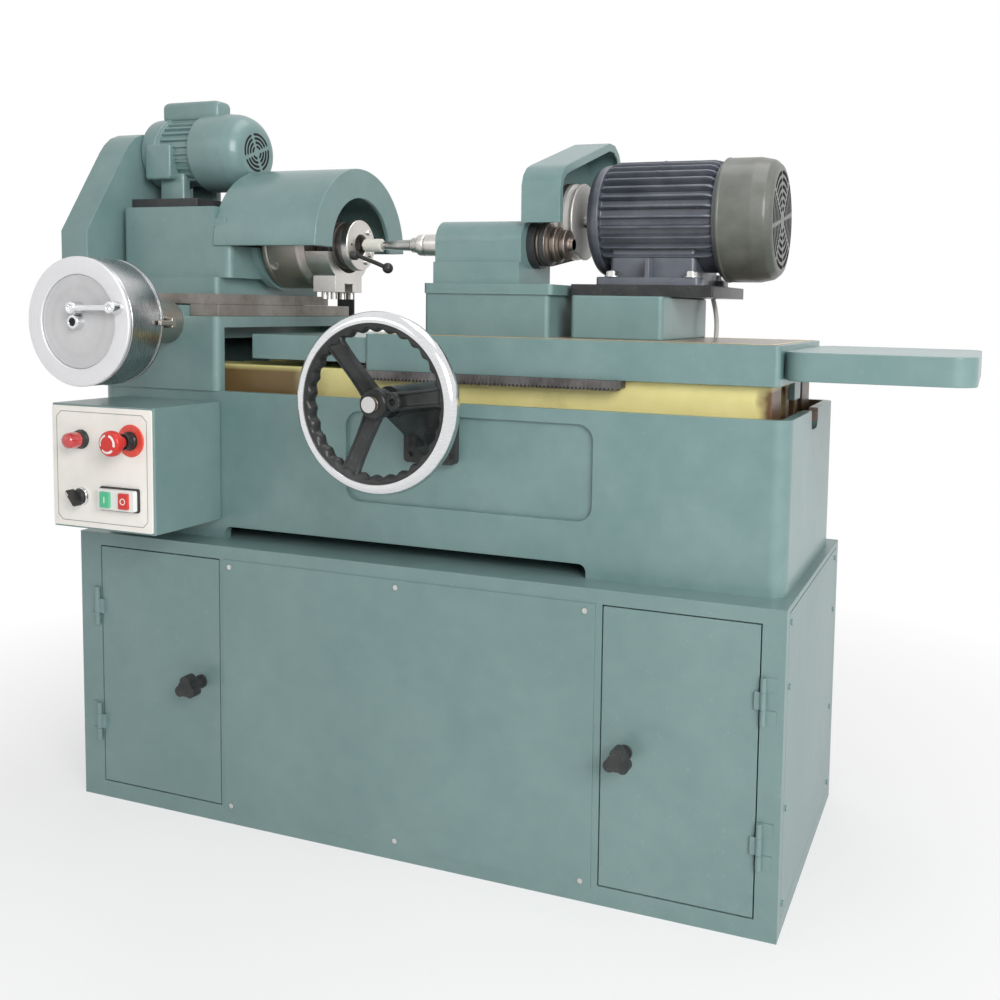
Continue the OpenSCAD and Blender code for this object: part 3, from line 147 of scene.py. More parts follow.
def make_enamel_group():
    """Sprayed enamel: slow drift of tone, fine orange peel, dust specks, dirt patches, paler edges that are a
    painted highlight and worn paint, and painted shade in the hollows.
    """
    tree, inp, out = new_group("sprayed_enamel", {
        "Place": ("vector", None), "Colour": ("colour", (0.2, 0.3, 0.3, 1)),
        "Edge colour": ("colour", (0.5, 0.6, 0.6, 1)), "Drift": ("number", 0.12), "Peel": ("number", 1.0),
        "Roughness": ("number", 0.35), "Pointiness": ("number", 0.5), "Edge": ("number", 0.35),
        "Dirt and hollow shade": ("number", 0.2)}, {"Colour": "colour", "Roughness": "number", "Height": "number"})
    place = inp.outputs["Place"]
    slow = noise(tree, place, 3.5, 4.0, 0.6)
    mid = noise(tree, place, 28.0, 3.0, 0.6)
    fine = noise(tree, place, 420.0, 2.0, 0.5)
    specks = faded(tree, noise(tree, place, 190.0, 1.0, 0.4), 0.70, 0.78)
    sway = scaled(tree, slow, 0.75)
    sway = calc(tree, "MULTIPLY_ADD", mid, 0.25, sway)
    darker = blended(tree, 1.0, inp.outputs["Colour"], (0.55, 0.58, 0.6, 1), "MULTIPLY")
    lighter = blended(tree, 0.22, inp.outputs["Colour"], (0.92, 0.96, 0.95, 1))
    tint = blended(tree, faded(tree, sway, 0.34, 0.66), darker, lighter)
    body = blended(tree, inp.outputs["Drift"], inp.outputs["Colour"], tint)
    body = blended(tree, scaled(tree, specks, 0.07), body, (0.62, 0.66, 0.64, 1))
    # Paler where edges stand out by Pointiness: a painted highlight along rounded edges, and worn paint
    edge = faded(tree, inp.outputs["Pointiness"], 0.515, 0.60)
    edge = calc(tree, "MULTIPLY", edge, inp.outputs["Edge"])
    body = blended(tree, edge, body, inp.outputs["Edge colour"])
    # Darker in dirt patches from noise, and as painted shade where Pointiness finds a hollow
    dirt_and_hollow_shade = faded(tree, noise(tree, place, 9.0, 5.0, 0.7), 0.55, 0.80)
    hollow_shade = faded(tree, inp.outputs["Pointiness"], 0.485, 0.42)
    dirt_and_hollow_shade = calc(tree, "MAXIMUM", dirt_and_hollow_shade, hollow_shade)
    dirt_and_hollow_shade = calc(tree, "MULTIPLY", dirt_and_hollow_shade, inp.outputs["Dirt and hollow shade"])
    body = blended(tree, dirt_and_hollow_shade, body, (0.045, 0.055, 0.05, 1))
    tree.links.new(body, out.inputs["Colour"])
    rough = calc(tree, "MULTIPLY_ADD", mid, 0.16, inp.outputs["Roughness"])
    tree.links.new(calc(tree, "MULTIPLY_ADD", dirt_and_hollow_shade, 0.3, rough), out.inputs["Roughness"])
    peel = calc(tree, "MULTIPLY_ADD", fine, 0.6, scaled(tree, specks, 0.8))
    peel = calc(tree, "MULTIPLY_ADD", mid, 1.6, peel)
    tree.links.new(calc(tree, "MULTIPLY", peel, inp.outputs["Peel"]), out.inputs["Height"])
    return tree


def make_metal_group():
    """Machined metal: fine tool lines across one direction, shade drift, small scratches and faint
    stains."""
    tree, inp, out = new_group("machined_metal", {
        "Place": ("vector", None), "Lines": ("vector", None), "Colour": ("colour", (0.7, 0.7, 0.7, 1)),
        "Stain colour": ("colour", (0.25, 0.18, 0.12, 1)), "Stain": ("number", 0.15),
        "Line depth": ("number", 1.0), "Roughness": ("number", 0.25)},
        {"Colour": "colour", "Roughness": "number", "Height": "number"})
    lines = noise(tree, inp.outputs["Lines"], 1.0, 4.0, 0.65)
    drift = noise(tree, inp.outputs["Place"], 14.0, 4.0, 0.6)
    blot = faded(tree, noise(tree, inp.outputs["Place"], 38.0, 5.0, 0.7), 0.52, 0.78)
    blot = calc(tree, "MULTIPLY", blot, inp.outputs["Stain"])
    body = blended(tree, faded(tree, lines, 0.3, 0.7, 0.0, 0.28), inp.outputs["Colour"],
                   (0.30, 0.30, 0.31, 1))
    body = blended(tree, faded(tree, drift, 0.35, 0.7, 0.0, 0.18), body, (0.9, 0.9, 0.9, 1))
    body = blended(tree, blot, body, inp.outputs["Stain colour"])
    tree.links.new(body, out.inputs["Colour"])
    rough = calc(tree, "MULTIPLY_ADD", lines, 0.14, inp.outputs["Roughness"])
    tree.links.new(calc(tree, "MULTIPLY_ADD", blot, 0.35, rough), out.inputs["Roughness"])
    tree.links.new(calc(tree, "MULTIPLY", lines, inp.outputs["Line depth"]), out.inputs["Height"])
    return tree


ENAMEL = make_enamel_group()
METAL = make_metal_group()


def srgb(r, g, b):
    """A colour read as 0..255 screen values, as linear light."""
    c = np.array([r, g, b]) / 255.0
    c = np.where(c <= 0.04045, c / 12.92, ((c + 0.055) / 1.055) ** 2.4)
    return (float(c[0]), float(c[1]), float(c[2]), 1.0)


def fresh_material(name):
    material = bpy.data.materials.new(name)
    material.use_nodes = True
    tree = material.node_tree
    shader = next(n for n in tree.nodes if n.type == "BSDF_PRINCIPLED")
    place = tree.nodes.new("ShaderNodeTexCoord").outputs["Object"]
    return material, tree, shader, place


def finished(tree, shader, group, takes, bump):
    """Sets the shader's colour, roughness and relief from a group that takes these sockets and numbers."""
    made = new_node(tree, "ShaderNodeGroup", node_tree=group)
    for label, value in takes.items():
        if isinstance(value, bpy.types.NodeSocket):
            tree.links.new(value, made.inputs[label])
        else:
            made.inputs[label].default_value = value
    bumped = new_node(tree, "ShaderNodeBump", {"Height": made.outputs["Height"], "Strength": bump,
                                               "Distance": 0.001})
    for label, value in (("Base Color", made.outputs["Colour"]), ("Roughness", made.outputs["Roughness"]),
                         ("Normal", bumped.outputs["Normal"])):
        tree.links.new(value, shader.inputs[label])


def enamel(name, colour, edge, drift=0.5, rough=0.32, peel=1.0, edge_highlight_and_wear=0.3, dirt_and_hollow_shade=0.15, bump=0.10, coat=0.25,
           relief=True, gloss=0.5):
    """A painted surface with its own clear top; relief adds paler edges, a painted highlight and worn paint,
    and painted shade in the hollows on finely divided pieces."""
    material, tree, shader, place = fresh_material(name)
    takes = {"Place": place, "Colour": colour, "Edge colour": edge, "Drift": drift, "Peel": peel,
             "Roughness": rough, "Edge": edge_highlight_and_wear, "Dirt and hollow shade": dirt_and_hollow_shade}
    # Pointiness paints a highlight on the edges and shade in the hollows
    if relief:
        takes["Pointiness"] = tree.nodes.new("ShaderNodeNewGeometry").outputs["Pointiness"]
    finished(tree, shader, ENAMEL, takes, bump)
    shader.inputs["Coat Weight"].default_value = coat
    shader.inputs["Specular IOR Level"].default_value = gloss
    shader.inputs["Coat Roughness"].default_value = 0.12
    return material


def metal(name, colour, lines=(60, 60, 900), rough=0.22, stain=0.15, stain_colour=(0.22, 0.14, 0.08, 1),
          depth=0.6, bump=0.08, metallic=1.0, centre=None):
    """A machined metal surface. lines is the tool pattern's scale along X, Y and Z.
    With centre (axis letter, a, b) the pattern runs in rings round that axis instead."""
    material, tree, shader, place = fresh_material(name)
    if centre is None:
        pattern = new_node(tree, "ShaderNodeMapping", {"Vector": place, "Scale": lines}).outputs[0]
    else:
        axis, first, second = centre
        parts = new_node(tree, "ShaderNodeSeparateXYZ", {0: place})
        pair = {"X": ("Y", "Z"), "Y": ("X", "Z"), "Z": ("X", "Y")}[axis]
        a = calc(tree, "SUBTRACT", parts.outputs[pair[0]], first)
        b = calc(tree, "SUBTRACT", parts.outputs[pair[1]], second)
        flat = new_node(tree, "ShaderNodeCombineXYZ", {0: a, 1: b}).outputs[0]
        radius = new_node(tree, "ShaderNodeVectorMath", {0: flat}, operation="LENGTH").outputs["Value"]
        along = scaled(tree, parts.outputs[axis], lines[2])
        pattern = new_node(tree, "ShaderNodeCombineXYZ", {0: scaled(tree, radius, lines[2]),
                1: along}).outputs[0]
    takes = {"Place": place, "Lines": pattern, "Colour": colour, "Stain colour": stain_colour, "Stain": stain,
             "Line depth": depth, "Roughness": rough}
    finished(tree, shader, METAL, takes, bump)
    shader.inputs["Metallic"].default_value = metallic
    return material


def rings_round(axis, place):
    """The axis letter and the two other coordinates in metres, for a metal's ring pattern."""
    x, y, z = (float(value) for value in at(*place))
    return (axis, y, z) if axis == "X" else (axis, x, z)


def stained_ends(material):
    """Old coolant has browned the cream casting past both ends of the table, with an edge broken by
    noise."""
    tree = material.node_tree
    shader = next(n for n in tree.nodes if n.type == "BSDF_PRINCIPLED")
    place = tree.nodes.new("ShaderNodeTexCoord").outputs["Object"]
    apart = new_node(tree, "ShaderNodeSeparateXYZ", {0: place})
    ragged = calc(tree, "ADD", apart.outputs["X"], scaled(tree, noise(tree, place, 14.0), 0.06))
    left = faded(tree, ragged, -0.21, -0.14, 0.9, 0.0)
    right = faded(tree, ragged, 0.56, 0.575)
    ends = calc(tree, "MAXIMUM", left, right)
    low = faded(tree, apart.outputs["Z"], 0.735, 0.745, 1.0, 0.0)
    mask = calc(tree, "MULTIPLY", ends, low)
    cream = shader.inputs["Base Color"].links[0].from_socket
    tree.links.new(blended(tree, mask, cream, (0.13, 0.062, 0.022, 1)), shader.inputs["Base Color"])


TEAL = enamel("teal_enamel", srgb(110, 141, 139), srgb(168, 190, 187), drift=0.22, rough=0.30, dirt_and_hollow_shade=0.10,
              relief=False)
TEAL_SHEET = enamel("teal_sheet", srgb(112, 140, 138), srgb(164, 186, 183), drift=0.16, rough=0.38,
                    peel=1.3, dirt_and_hollow_shade=0.05, relief=False)
CREAM = enamel("cream_casting", srgb(240, 228, 148), srgb(240, 230, 176), drift=0.35, rough=0.4,
               dirt_and_hollow_shade=0.22, peel=1.6, relief=False)
TROUGH_RUST = enamel("trough_rust", srgb(112, 66, 34), srgb(150, 100, 60), drift=0.9, rough=0.7, dirt_and_hollow_shade=0.5,
                     peel=2.5, bump=0.3, coat=0.0, relief=False)
OILED_FIELD = enamel("oiled_field", srgb(134, 112, 92), srgb(160, 140, 120), drift=0.8, rough=0.35,
                     dirt_and_hollow_shade=0.3, peel=1.5)
DARK_IRON = metal("dark_iron", srgb(74, 66, 60), lines=(300, 60, 60), rough=0.34, stain=0.3, metallic=0.7)
FACE_STEEL = metal("satin_faceplate", srgb(176, 168, 158), rough=0.34, stain=0.12,
                   centre=rings_round("X", SPINDLE), lines=(0, 0, 420), depth=0.5, bump=0.06)
BRIGHT_STEEL = metal("ground_steel", srgb(212, 208, 202), lines=(300, 300, 300), rough=0.26, stain=0.08)
CONDUIT_GREY = enamel("conduit_sheath", srgb(206, 204, 200), srgb(230, 230, 228), drift=0.2, rough=0.45,
                      dirt_and_hollow_shade=0.15)
NAVY = enamel("motor_enamel", srgb(62, 66, 80), srgb(110, 116, 128), drift=0.5, rough=0.34, dirt_and_hollow_shade=0.2)
OLIVE = enamel("cowl_enamel", srgb(86, 88, 80), srgb(140, 142, 132), drift=0.4, rough=0.36, dirt_and_hollow_shade=0.15)
BLACK = enamel("black_casting", srgb(24, 24, 25), srgb(52, 52, 53), drift=0.3, rough=0.26, dirt_and_hollow_shade=0.2,
               coat=0.12, gloss=0.2)
BLACK_PLASTIC = enamel("black_plastic", srgb(22, 22, 22), srgb(50, 50, 50), drift=0.25, rough=0.25,
                       dirt_and_hollow_shade=0.0, coat=0.12, gloss=0.22)
PANEL_WHITE = enamel("panel_enamel", srgb(252, 248, 240), srgb(240, 238, 232), drift=0.25, rough=0.4,
                     dirt_and_hollow_shade=0.06)
WHITE_PLASTIC = enamel("white_plastic", srgb(236, 236, 232), srgb(245, 245, 245), drift=0.1, rough=0.35,
                       dirt_and_hollow_shade=0.04)
RED_PLASTIC = enamel("red_plastic", srgb(214, 40, 32), srgb(240, 110, 90), drift=0.15, rough=0.22,
                     dirt_and_hollow_shade=0.03, coat=0.2, gloss=0.3)
GREEN_PLASTIC = enamel("green_plastic", srgb(70, 190, 140), srgb(150, 220, 190), drift=0.15, rough=0.3,
                       dirt_and_hollow_shade=0.03)
ABRASIVE = enamel("white_abrasive", srgb(228, 226, 216), srgb(240, 240, 235), drift=0.3, rough=0.8,
                  peel=3.0, dirt_and_hollow_shade=0.1, bump=0.5, coat=0.0)
RUBBER = enamel("belt_rubber", srgb(34, 34, 34), srgb(60, 60, 60), drift=0.3, rough=0.6, dirt_and_hollow_shade=0.1,
                coat=0.0)
CHROME = metal("polished_chrome", (0.78, 0.79, 0.80, 1), rough=0.06, stain=0.03, depth=0.1, bump=0.02)
STEEL = metal("turned_steel", (0.62, 0.61, 0.59, 1), lines=(700, 60, 60), rough=0.24, stain=0.12)
GROUND_IRON = metal("ground_iron", srgb(132, 122, 112), lines=(40, 500, 500), rough=0.42, stain=0.4,
                    metallic=0.35, stain_colour=srgb(86, 66, 54))
RACK_IRON = metal("rack_iron", srgb(52, 46, 44), lines=(500, 60, 60), rough=0.4, stain=0.3, metallic=0.6)
BRASS = metal("yellow_brass", srgb(190, 170, 120), lines=(60, 60, 400), rough=0.28, stain=0.2)
DIAL_CHROME = metal("turned_chrome", (0.42, 0.42, 0.43, 1), rough=0.20, stain=0.06, depth=0.5, bump=0.05,
                    centre=rings_round("Y", DIAL), lines=(0, 0, 500))
DIAL_WHITE = metal("satin_dial_face", (0.82, 0.82, 0.84, 1), rough=0.42, stain=0.05, metallic=0.35,
                   depth=0.4, bump=0.04, centre=rings_round("Y", DIAL), lines=(0, 0, 700))
DIAL_DISC = metal("turned_dial_disc", (0.60, 0.60, 0.61, 1), rough=0.5, stain=0.08, metallic=0.25,
                  depth=0.5, bump=0.05, centre=rings_round("Y", DIAL), lines=(0, 0, 900))
SCREW_STEEL = metal("plated_steel", (0.72, 0.72, 0.70, 1), lines=(300, 300, 300), rough=0.22, stain=0.1)
PULLEY_SILVER = metal("turned_silver", (0.74, 0.72, 0.68, 1), rough=0.34, stain=0.06, metallic=0.45,
                      centre=rings_round("X", MOTOR), lines=(0, 0, 600))
BRONZE = metal("stained_bronze", srgb(112, 92, 74), rough=0.3, stain=0.35, metallic=0.85,
               centre=rings_round("X", SPINDLE), lines=(0, 0, 500))
BORDER_GREY = enamel("border_line", srgb(150, 152, 146), srgb(170, 172, 166), drift=0.15, rough=0.5,
                     dirt_and_hollow_shade=0.1)
LENS_RED = enamel("lamp_lens_red", srgb(196, 16, 22), srgb(240, 80, 70), drift=0.2, rough=0.1, dirt_and_hollow_shade=0.0,
                  coat=1.0)
DISC_ORANGE = enamel("disc_orange", srgb(232, 70, 50), srgb(240, 120, 90), drift=0.2, rough=0.4, dirt_and_hollow_shade=0.05)
PALE_MARK = enamel("pale_mark", srgb(244, 236, 230), srgb(250, 250, 250), drift=0.1, rough=0.5, dirt_and_hollow_shade=0.0)
# Painted shadow: a near-black that stands in for the shade inside slots, holes and sockets
PAINTED_SLOT_SHADOW = enamel("slot_shadow", srgb(14, 15, 16), srgb(30, 32, 32), drift=0.2, rough=0.8, dirt_and_hollow_shade=0.1,
                   coat=0.0, gloss=0.1)

stained_ends(CREAM)
FINISH = {"teal_paint": TEAL, "cream_paint": CREAM, "black_paint": BLACK, "white_paint": PANEL_WHITE,
          "navy_paint": NAVY, "olive_paint": OLIVE, "steel": STEEL, "chrome": CHROME, "iron": GROUND_IRON,
          "black_plastic": BLACK_PLASTIC, "red_plastic": RED_PLASTIC, "green_plastic": GREEN_PLASTIC,
          "white_plastic": WHITE_PLASTIC, "abrasive": ABRASIVE, "belt_rubber": RUBBER}
MORE_LOOKS = {"steel": (FACE_STEEL, BRIGHT_STEEL, BRASS, DIAL_CHROME, SCREW_STEEL, PULLEY_SILVER),
              "iron": (DARK_IRON, BRONZE), "white_paint": (DIAL_WHITE, DIAL_DISC),
              "olive_paint": (BORDER_GREY,), "red_plastic": (LENS_RED, DISC_ORANGE),
              "white_plastic": (PALE_MARK, CONDUIT_GREY), "cream_paint": (OILED_FIELD,)}
SLOT_OF_LOOK = {look.name: slot for slot, look in FINISH.items()}
for slot, looks in MORE_LOOKS.items():
    SLOT_OF_LOOK.update({look.name: slot for look in looks})
slot_of = {p["node"]: p["material_slot"] for p in frame["record"]["subparts"]}
for node_name, node_object in frame["nodes"].items():
    finish = FINISH[slot_of[node_name]]
    if len(node_object.data.materials) == 0:
        node_object.data.materials.append(finish)
    for index in range(len(node_object.data.materials)):
        node_object.data.materials[index] = finish


def softened(node_name, width, material=None, segments=3, angle=32.0, reshape=None):
    """A merged copy of a CAD node whose sharp edges are rolled over by width, in place of the node."""
    source = frame["nodes"][node_name]
    mesh = source.data.copy()
    solid = bmesh.new()
    solid.from_mesh(mesh)
    bmesh.ops.remove_doubles(solid, verts=solid.verts, dist=2e-6)
    bmesh.ops.dissolve_limit(solid, angle_limit=math.radians(0.6), verts=solid.verts, edges=solid.edges)
    if reshape:
        reshape(solid)
    solid.to_mesh(mesh)
    solid.free()
    piece = bpy.data.objects.new(node_name + "_body", mesh)
    bpy.context.scene.collection.objects.link(piece)
    mesh.materials.clear()
    mesh.materials.append(material or FINISH[slot_of[node_name]])
    mesh.polygons.foreach_set("use_smooth", np.ones(len(mesh.polygons), dtype=bool))
    bevel = piece.modifiers.new("rolled_edges", "BEVEL")
    bevel.width = width
    bevel.segments = segments
    bevel.limit_method = "ANGLE"
    bevel.angle_limit = math.radians(angle)
    bevel.use_clamp_overlap = True
    level = piece.modifiers.new("level_normals", "WEIGHTED_NORMAL")
    level.weight = 100
    level.keep_sharp = False
    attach(piece, bodies_of[node_name])
    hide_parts(node_name)
    return piece


def behind_hood(solid):
    """Above the hood's lower edge the housing's right end stands back to the hood's rear rim."""
    rim, edge, reach = at(222.6, 0, 0)[0], 0.9405, at(246, 0, 0)[0]
    for height in (edge, edge + 0.0012):
        parts = list(solid.verts) + list(solid.edges) + list(solid.faces)
        bmesh.ops.bisect_plane(solid, geom=parts, plane_co=(0, 0, height), plane_no=(0, 0, 1))
    for vert in solid.verts:
        if vert.co.z > edge + 0.001 and vert.co.x > reach:
            vert.co.x = rim


ROLLED = {"cabinet": (0.0015, TEAL_SHEET), "cabinet_front": (0.0008, TEAL_SHEET),
          "cabinet_inner": (0.001, TEAL_SHEET), "centre_panel": (0.0006, TEAL_SHEET),
          "side_panel": (0.0006, TEAL_SHEET), "left_door": (0.0012, TEAL_SHEET),
          "right_door": (0.0012, TEAL_SHEET), "hinge_leaves": (0.0005, TEAL_SHEET),
          "bed": (0.0025, TEAL), "column": (0.003, TEAL), "bed_ways": (0.002, CREAM),
          "cross_rails": (0.001, None), "control_box": (0.0015, TEAL_SHEET), "table": (0.003, TEAL),
          "table_tray": (0.003, TEAL), "wheelhead_base": (0.003, TEAL), "spindle_housing": (0.004, TEAL),
          "motor_stand": (0.003, TEAL), "rod_clamp": (0.0012, BRIGHT_STEEL), "rear_plate": (0.001, None),
          "saddle": (0.0012, None), "headstock_housing": (0.003, TEAL), "hood": (0.0018, TEAL),
          "work_motor_plate": (0.0015, BLACK), "belt_guard": (0.0012, TEAL),
          "left_belt_guard": (0.0012, TEAL), "handwheel_bracket": (0.002, BLACK),
          "left_knob": (0.0022, BLACK_PLASTIC), "right_knob": (0.0022, BLACK_PLASTIC),
          "dial_bracket": (0.002, FACE_STEEL)}
RESHAPED = {"headstock_housing": behind_hood}
rolled_piece = {name: softened(name, width, material, reshape=RESHAPED.get(name))
                for name, (width, material) in ROLLED.items()}
frame["nodes"]["rack"].data.materials[0] = RACK_IRON


def repaint(node_name, material, low, high, inner=True):
    """Gives another finish to the faces of a rolled piece whose middles lie inside a box in millimetres,
    where inner only those that look towards the box's own middle."""
    mesh = rolled_piece[node_name].data
    middle, normal = np.empty((2, len(mesh.polygons) * 3))
    mesh.polygons.foreach_get("center", middle)
    mesh.polygons.foreach_get("normal", normal)
    middle, normal = middle.reshape(-1, 3), normal.reshape(-1, 3)
    inward = ((0.5 * (at(*low) + at(*high)) - middle) * normal).sum(axis=1) > 0
    inside = ((middle > at(*low)) & (middle < at(*high))).all(axis=1) & (inward | (not inner))
    mesh.materials.append(material)
    mesh.polygons.foreach_set("material_index", inside.astype(np.int32))


repaint("bed", TROUGH_RUST, (5, 60, 470), (1182, 440, 701.5))
repaint("spindle_housing", BLACK, (742.5, 150, 880), (756, 262, 1000), inner=False)


# Surfaces worked out as whole arrays
AHEAD = {"front": ((0, -1, 0), (1, 0, 0), (0, 0, 1)), "back": ((0, 1, 0), (-1, 0, 0), (0, 0, 1)),
         "right": ((1, 0, 0), (0, 1, 0), (0, 0, 1)), "left": ((-1, 0, 0), (0, -1, 0), (0, 0, 1)),
         "up": ((0, 0, 1), (1, 0, 0), (0, 1, 0)), "down": ((0, 0, -1), (-1, 0, 0), (0, 1, 0))}


def facing(way, origin, across, upward, out):
    """Points whose three numbers run across, upward and out of a face that looks the given way;
    millimetres from origin."""
    normal, u, v = (np.array(d, dtype=float) for d in AHEAD[way])
    across, upward, out = np.broadcast_arrays(across, upward, out)
    return at(*origin) + (across[..., None] * u + upward[..., None] * v + out[..., None] * normal) / 1000.0


def eased(corners, radius, steps=4, closed=False):
    """A broken line whose corners are replaced by quadratic arcs that start and end a radius away from the
    corner."""
    line = np.asarray(corners, dtype=float)
    if closed:
        before, here, after = np.roll(line, 1, axis=0), line, np.roll(line, -1, axis=0)
    else:
        before, here, after = line[:-2], line[1:-1], line[2:]
    back, ahead = before - here, after - here
    long_back = np.linalg.norm(back, axis=1, keepdims=True)
    long_ahead = np.linalg.norm(ahead, axis=1, keepdims=True)
    reach = np.minimum(np.reshape(radius, (-1, 1)), 0.48 * np.minimum(long_back, long_ahead))
    start = (here + back / long_back * reach)[:, None]
    end = (here + ahead / long_ahead * reach)[:, None]
    t = np.linspace(0, 1, steps + 1)[None, :, None]
    arcs = ((1 - t) ** 2 * start + 2 * t * (1 - t) * here[:, None] + t ** 2 * end).reshape(-1,
            line.shape[1])
    return arcs if closed else np.concatenate([line[:1], arcs, line[-1:]])


def round_box(half_wide, half_high, corner, points=6):
    """A loop round a rectangle with arc corners; any of the three may be an array, one loop for each
    value."""
    half_wide, half_high, corner = np.broadcast_arrays(
        *[np.asarray(v, dtype=float) for v in (half_wide, half_high, corner)])
    turn = (np.arange(4)[:, None] * 90 + np.linspace(0, 90, points)[None, :]).reshape(-1) * math.pi / 180
    sx = np.repeat([1, -1, -1, 1], points)
    sy = np.repeat([1, 1, -1, -1], points)
    wide = half_wide[..., None] - corner[..., None]
    high = half_high[..., None] - corner[..., None]
    return np.stack([sx * wide + corner[..., None] * np.cos(turn),
                     sy * high + corner[..., None] * np.sin(turn)], -1)


def turned(way, origin, profile, around=72, waves=0, depth=0.0, start=0.0):
    """A profile of (out, radius) pairs turned once round the direction of the face; with waves the radius
    swells and sinks that many times by depth, more where the radius is larger."""
    profile = np.asarray(profile, dtype=float)
    angle = (np.linspace(0, 360, around, endpoint=False) + start) * math.pi / 180
    out = profile[:, 0][:, None] + 0 * angle[None, :]
    radius = profile[:, 1][:, None] * (1 + depth * np.cos(waves * angle)[None, :])
    return facing(way, origin, radius * np.cos(angle), radius * np.sin(angle), out), False, True


def stacked(way, origin, loops, levels):
    """Loops of (across, upward) stacked at their levels out of the face, closed to their middles at both
    ends."""
    loops = np.asarray(loops, dtype=float)
    levels = np.asarray(levels, dtype=float)[:, None] + 0 * loops[..., 0]
    points = facing(way, origin, loops[..., 0], loops[..., 1], levels)
    first = np.repeat(points[:1].mean(axis=1, keepdims=True), points.shape[1], axis=1)
    last = np.repeat(points[-1:].mean(axis=1, keepdims=True), points.shape[1], axis=1)
    return np.concatenate([first, points, last]), False, True


def soft_block(way, origin, half_wide, half_high, tall, corner=2.0, edge=1.0, points=5, foot=0.0):
    """A block on a face: rounded-rectangle loops, its outer rim rolled over by edge along a quarter
    circle."""
    turn = np.linspace(0, math.pi / 2, 5)
    inset = np.concatenate([[0], edge * (1 - np.cos(turn))])
    level = np.concatenate([[foot], tall - edge + edge * np.sin(turn)])
    corner = np.maximum(corner - inset, 0.05)
    return stacked(way, origin, round_box(half_wide - inset, half_high - inset, corner, points), level)


def spun(grid, origin, way, angles):
    """The same surface repeated round the face's direction through origin, at these angles in degrees."""
    points, loop_rows, loop_cols = grid
    normal, u, v = (np.array(d, dtype=float) for d in AHEAD[way])
    centre = at(*origin)
    rel = points - centre
    a, b, c = rel @ u, rel @ v, rel @ normal
    t = np.radians(np.atleast_1d(angles)).reshape((-1,) + (1,) * a.ndim)
    turned_a = a * np.cos(t) - b * np.sin(t)
    turned_b = a * np.sin(t) + b * np.cos(t)
    return (centre + turned_a[..., None] * u + turned_b[..., None] * v + (c + 0 * t)[..., None] * normal,
            loop_rows, loop_cols)


def carried(path, section, side, scale=1.0):
    """A section of (sideways, lift) pairs carried along a flat path: sideways runs along the path's plane
    normal, lift along the path's own normal; scale shrinks or grows it station by station. Ends are closed
    to their middles."""
    path = np.asarray(path, dtype=float)
    section = np.asarray(section, dtype=float)
    ahead = np.gradient(path, axis=0)
    ahead = ahead / np.linalg.norm(ahead, axis=1, keepdims=True)
    side = np.asarray(side, dtype=float)
    side = side / np.linalg.norm(side)
    lift = np.cross(side[None, :], ahead)
    lift = lift / np.linalg.norm(lift, axis=1, keepdims=True)
    size = scale * np.ones(len(path))
    points = path[:, None] + size[:, None, None] * (section[None, :, :1] * side
                                                    + section[None, :, 1:] * lift[:, None])
    points = np.concatenate([np.repeat(path[:1, None], len(section), axis=1), points,
                             np.repeat(path[-1:, None], len(section), axis=1)])
    return points / 1000.0 - CAB_MID, False, True


def ring_of(radius, points=12):
    """A round section of (sideways, lift) pairs."""
    angle = np.linspace(0, 2 * math.pi, points, endpoint=False)
    return np.stack([radius * np.cos(angle), radius * np.sin(angle)], axis=-1)


def piece(name, body, material, grids, sharp=35.0, slot=None, stands_for=()):
    """One object from grid surfaces: every grid is points (..., rows, cols, 3) and whether its rows or
    columns close. Poles and seams are merged, faces are turned outwards, and edges sharper than sharp stay
    crisp. The slot argument is not used."""
    verts, faces, base = [], [], 0
    for points, loop_rows, loop_cols in grids:
        points = np.asarray(points, dtype=float)
        rows, cols = points.shape[-3], points.shape[-2]
        flat = points.reshape(-1, 3)
        count = len(flat) // (rows * cols)
        r, c = np.meshgrid(np.arange(rows if loop_rows else rows - 1),
                           np.arange(cols if loop_cols else cols - 1), indexing="ij")
        r2, c2 = (r + 1) % rows, (c + 1) % cols
        one = np.stack([r * cols + c, r * cols + c2, r2 * cols + c2, r2 * cols + c], axis=-1).reshape(-1, 4)
        faces.append((one[None] + (np.arange(count) * rows * cols)[:, None, None]).reshape(-1, 4) + base)
        verts.append(flat)
        base += len(flat)
    verts, faces = np.concatenate(verts), np.concatenate(faces)
    mesh = bpy.data.meshes.new(name)
    mesh.from_pydata(verts.tolist(), [], faces.tolist())
    solid = bmesh.new()
    solid.from_mesh(mesh)
    bmesh.ops.remove_doubles(solid, verts=solid.verts, dist=1e-6)
    bmesh.ops.recalc_face_normals(solid, faces=solid.faces)
    solid.to_mesh(mesh)
    solid.free()
    mesh.materials.append(material)
    mesh.polygons.foreach_set("use_smooth", np.ones(len(mesh.polygons), dtype=bool))
    mesh.set_sharp_from_angle(angle=math.radians(sharp))
    made = bpy.data.objects.new(name, mesh)
    bpy.context.scene.collection.objects.link(made)
    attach(made, body)
    if stands_for:
        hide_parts(*stands_for)


def lathe(name, body, material, way, place, corners, ease, around, steps=3, stands_for=()):
    """A piece that is one profile of (out, radius) corners, eased and turned round the face's direction."""
    piece(name, body, material, [turned(way, place, eased(corners, ease, steps), around)],
          stands_for=stands_for)


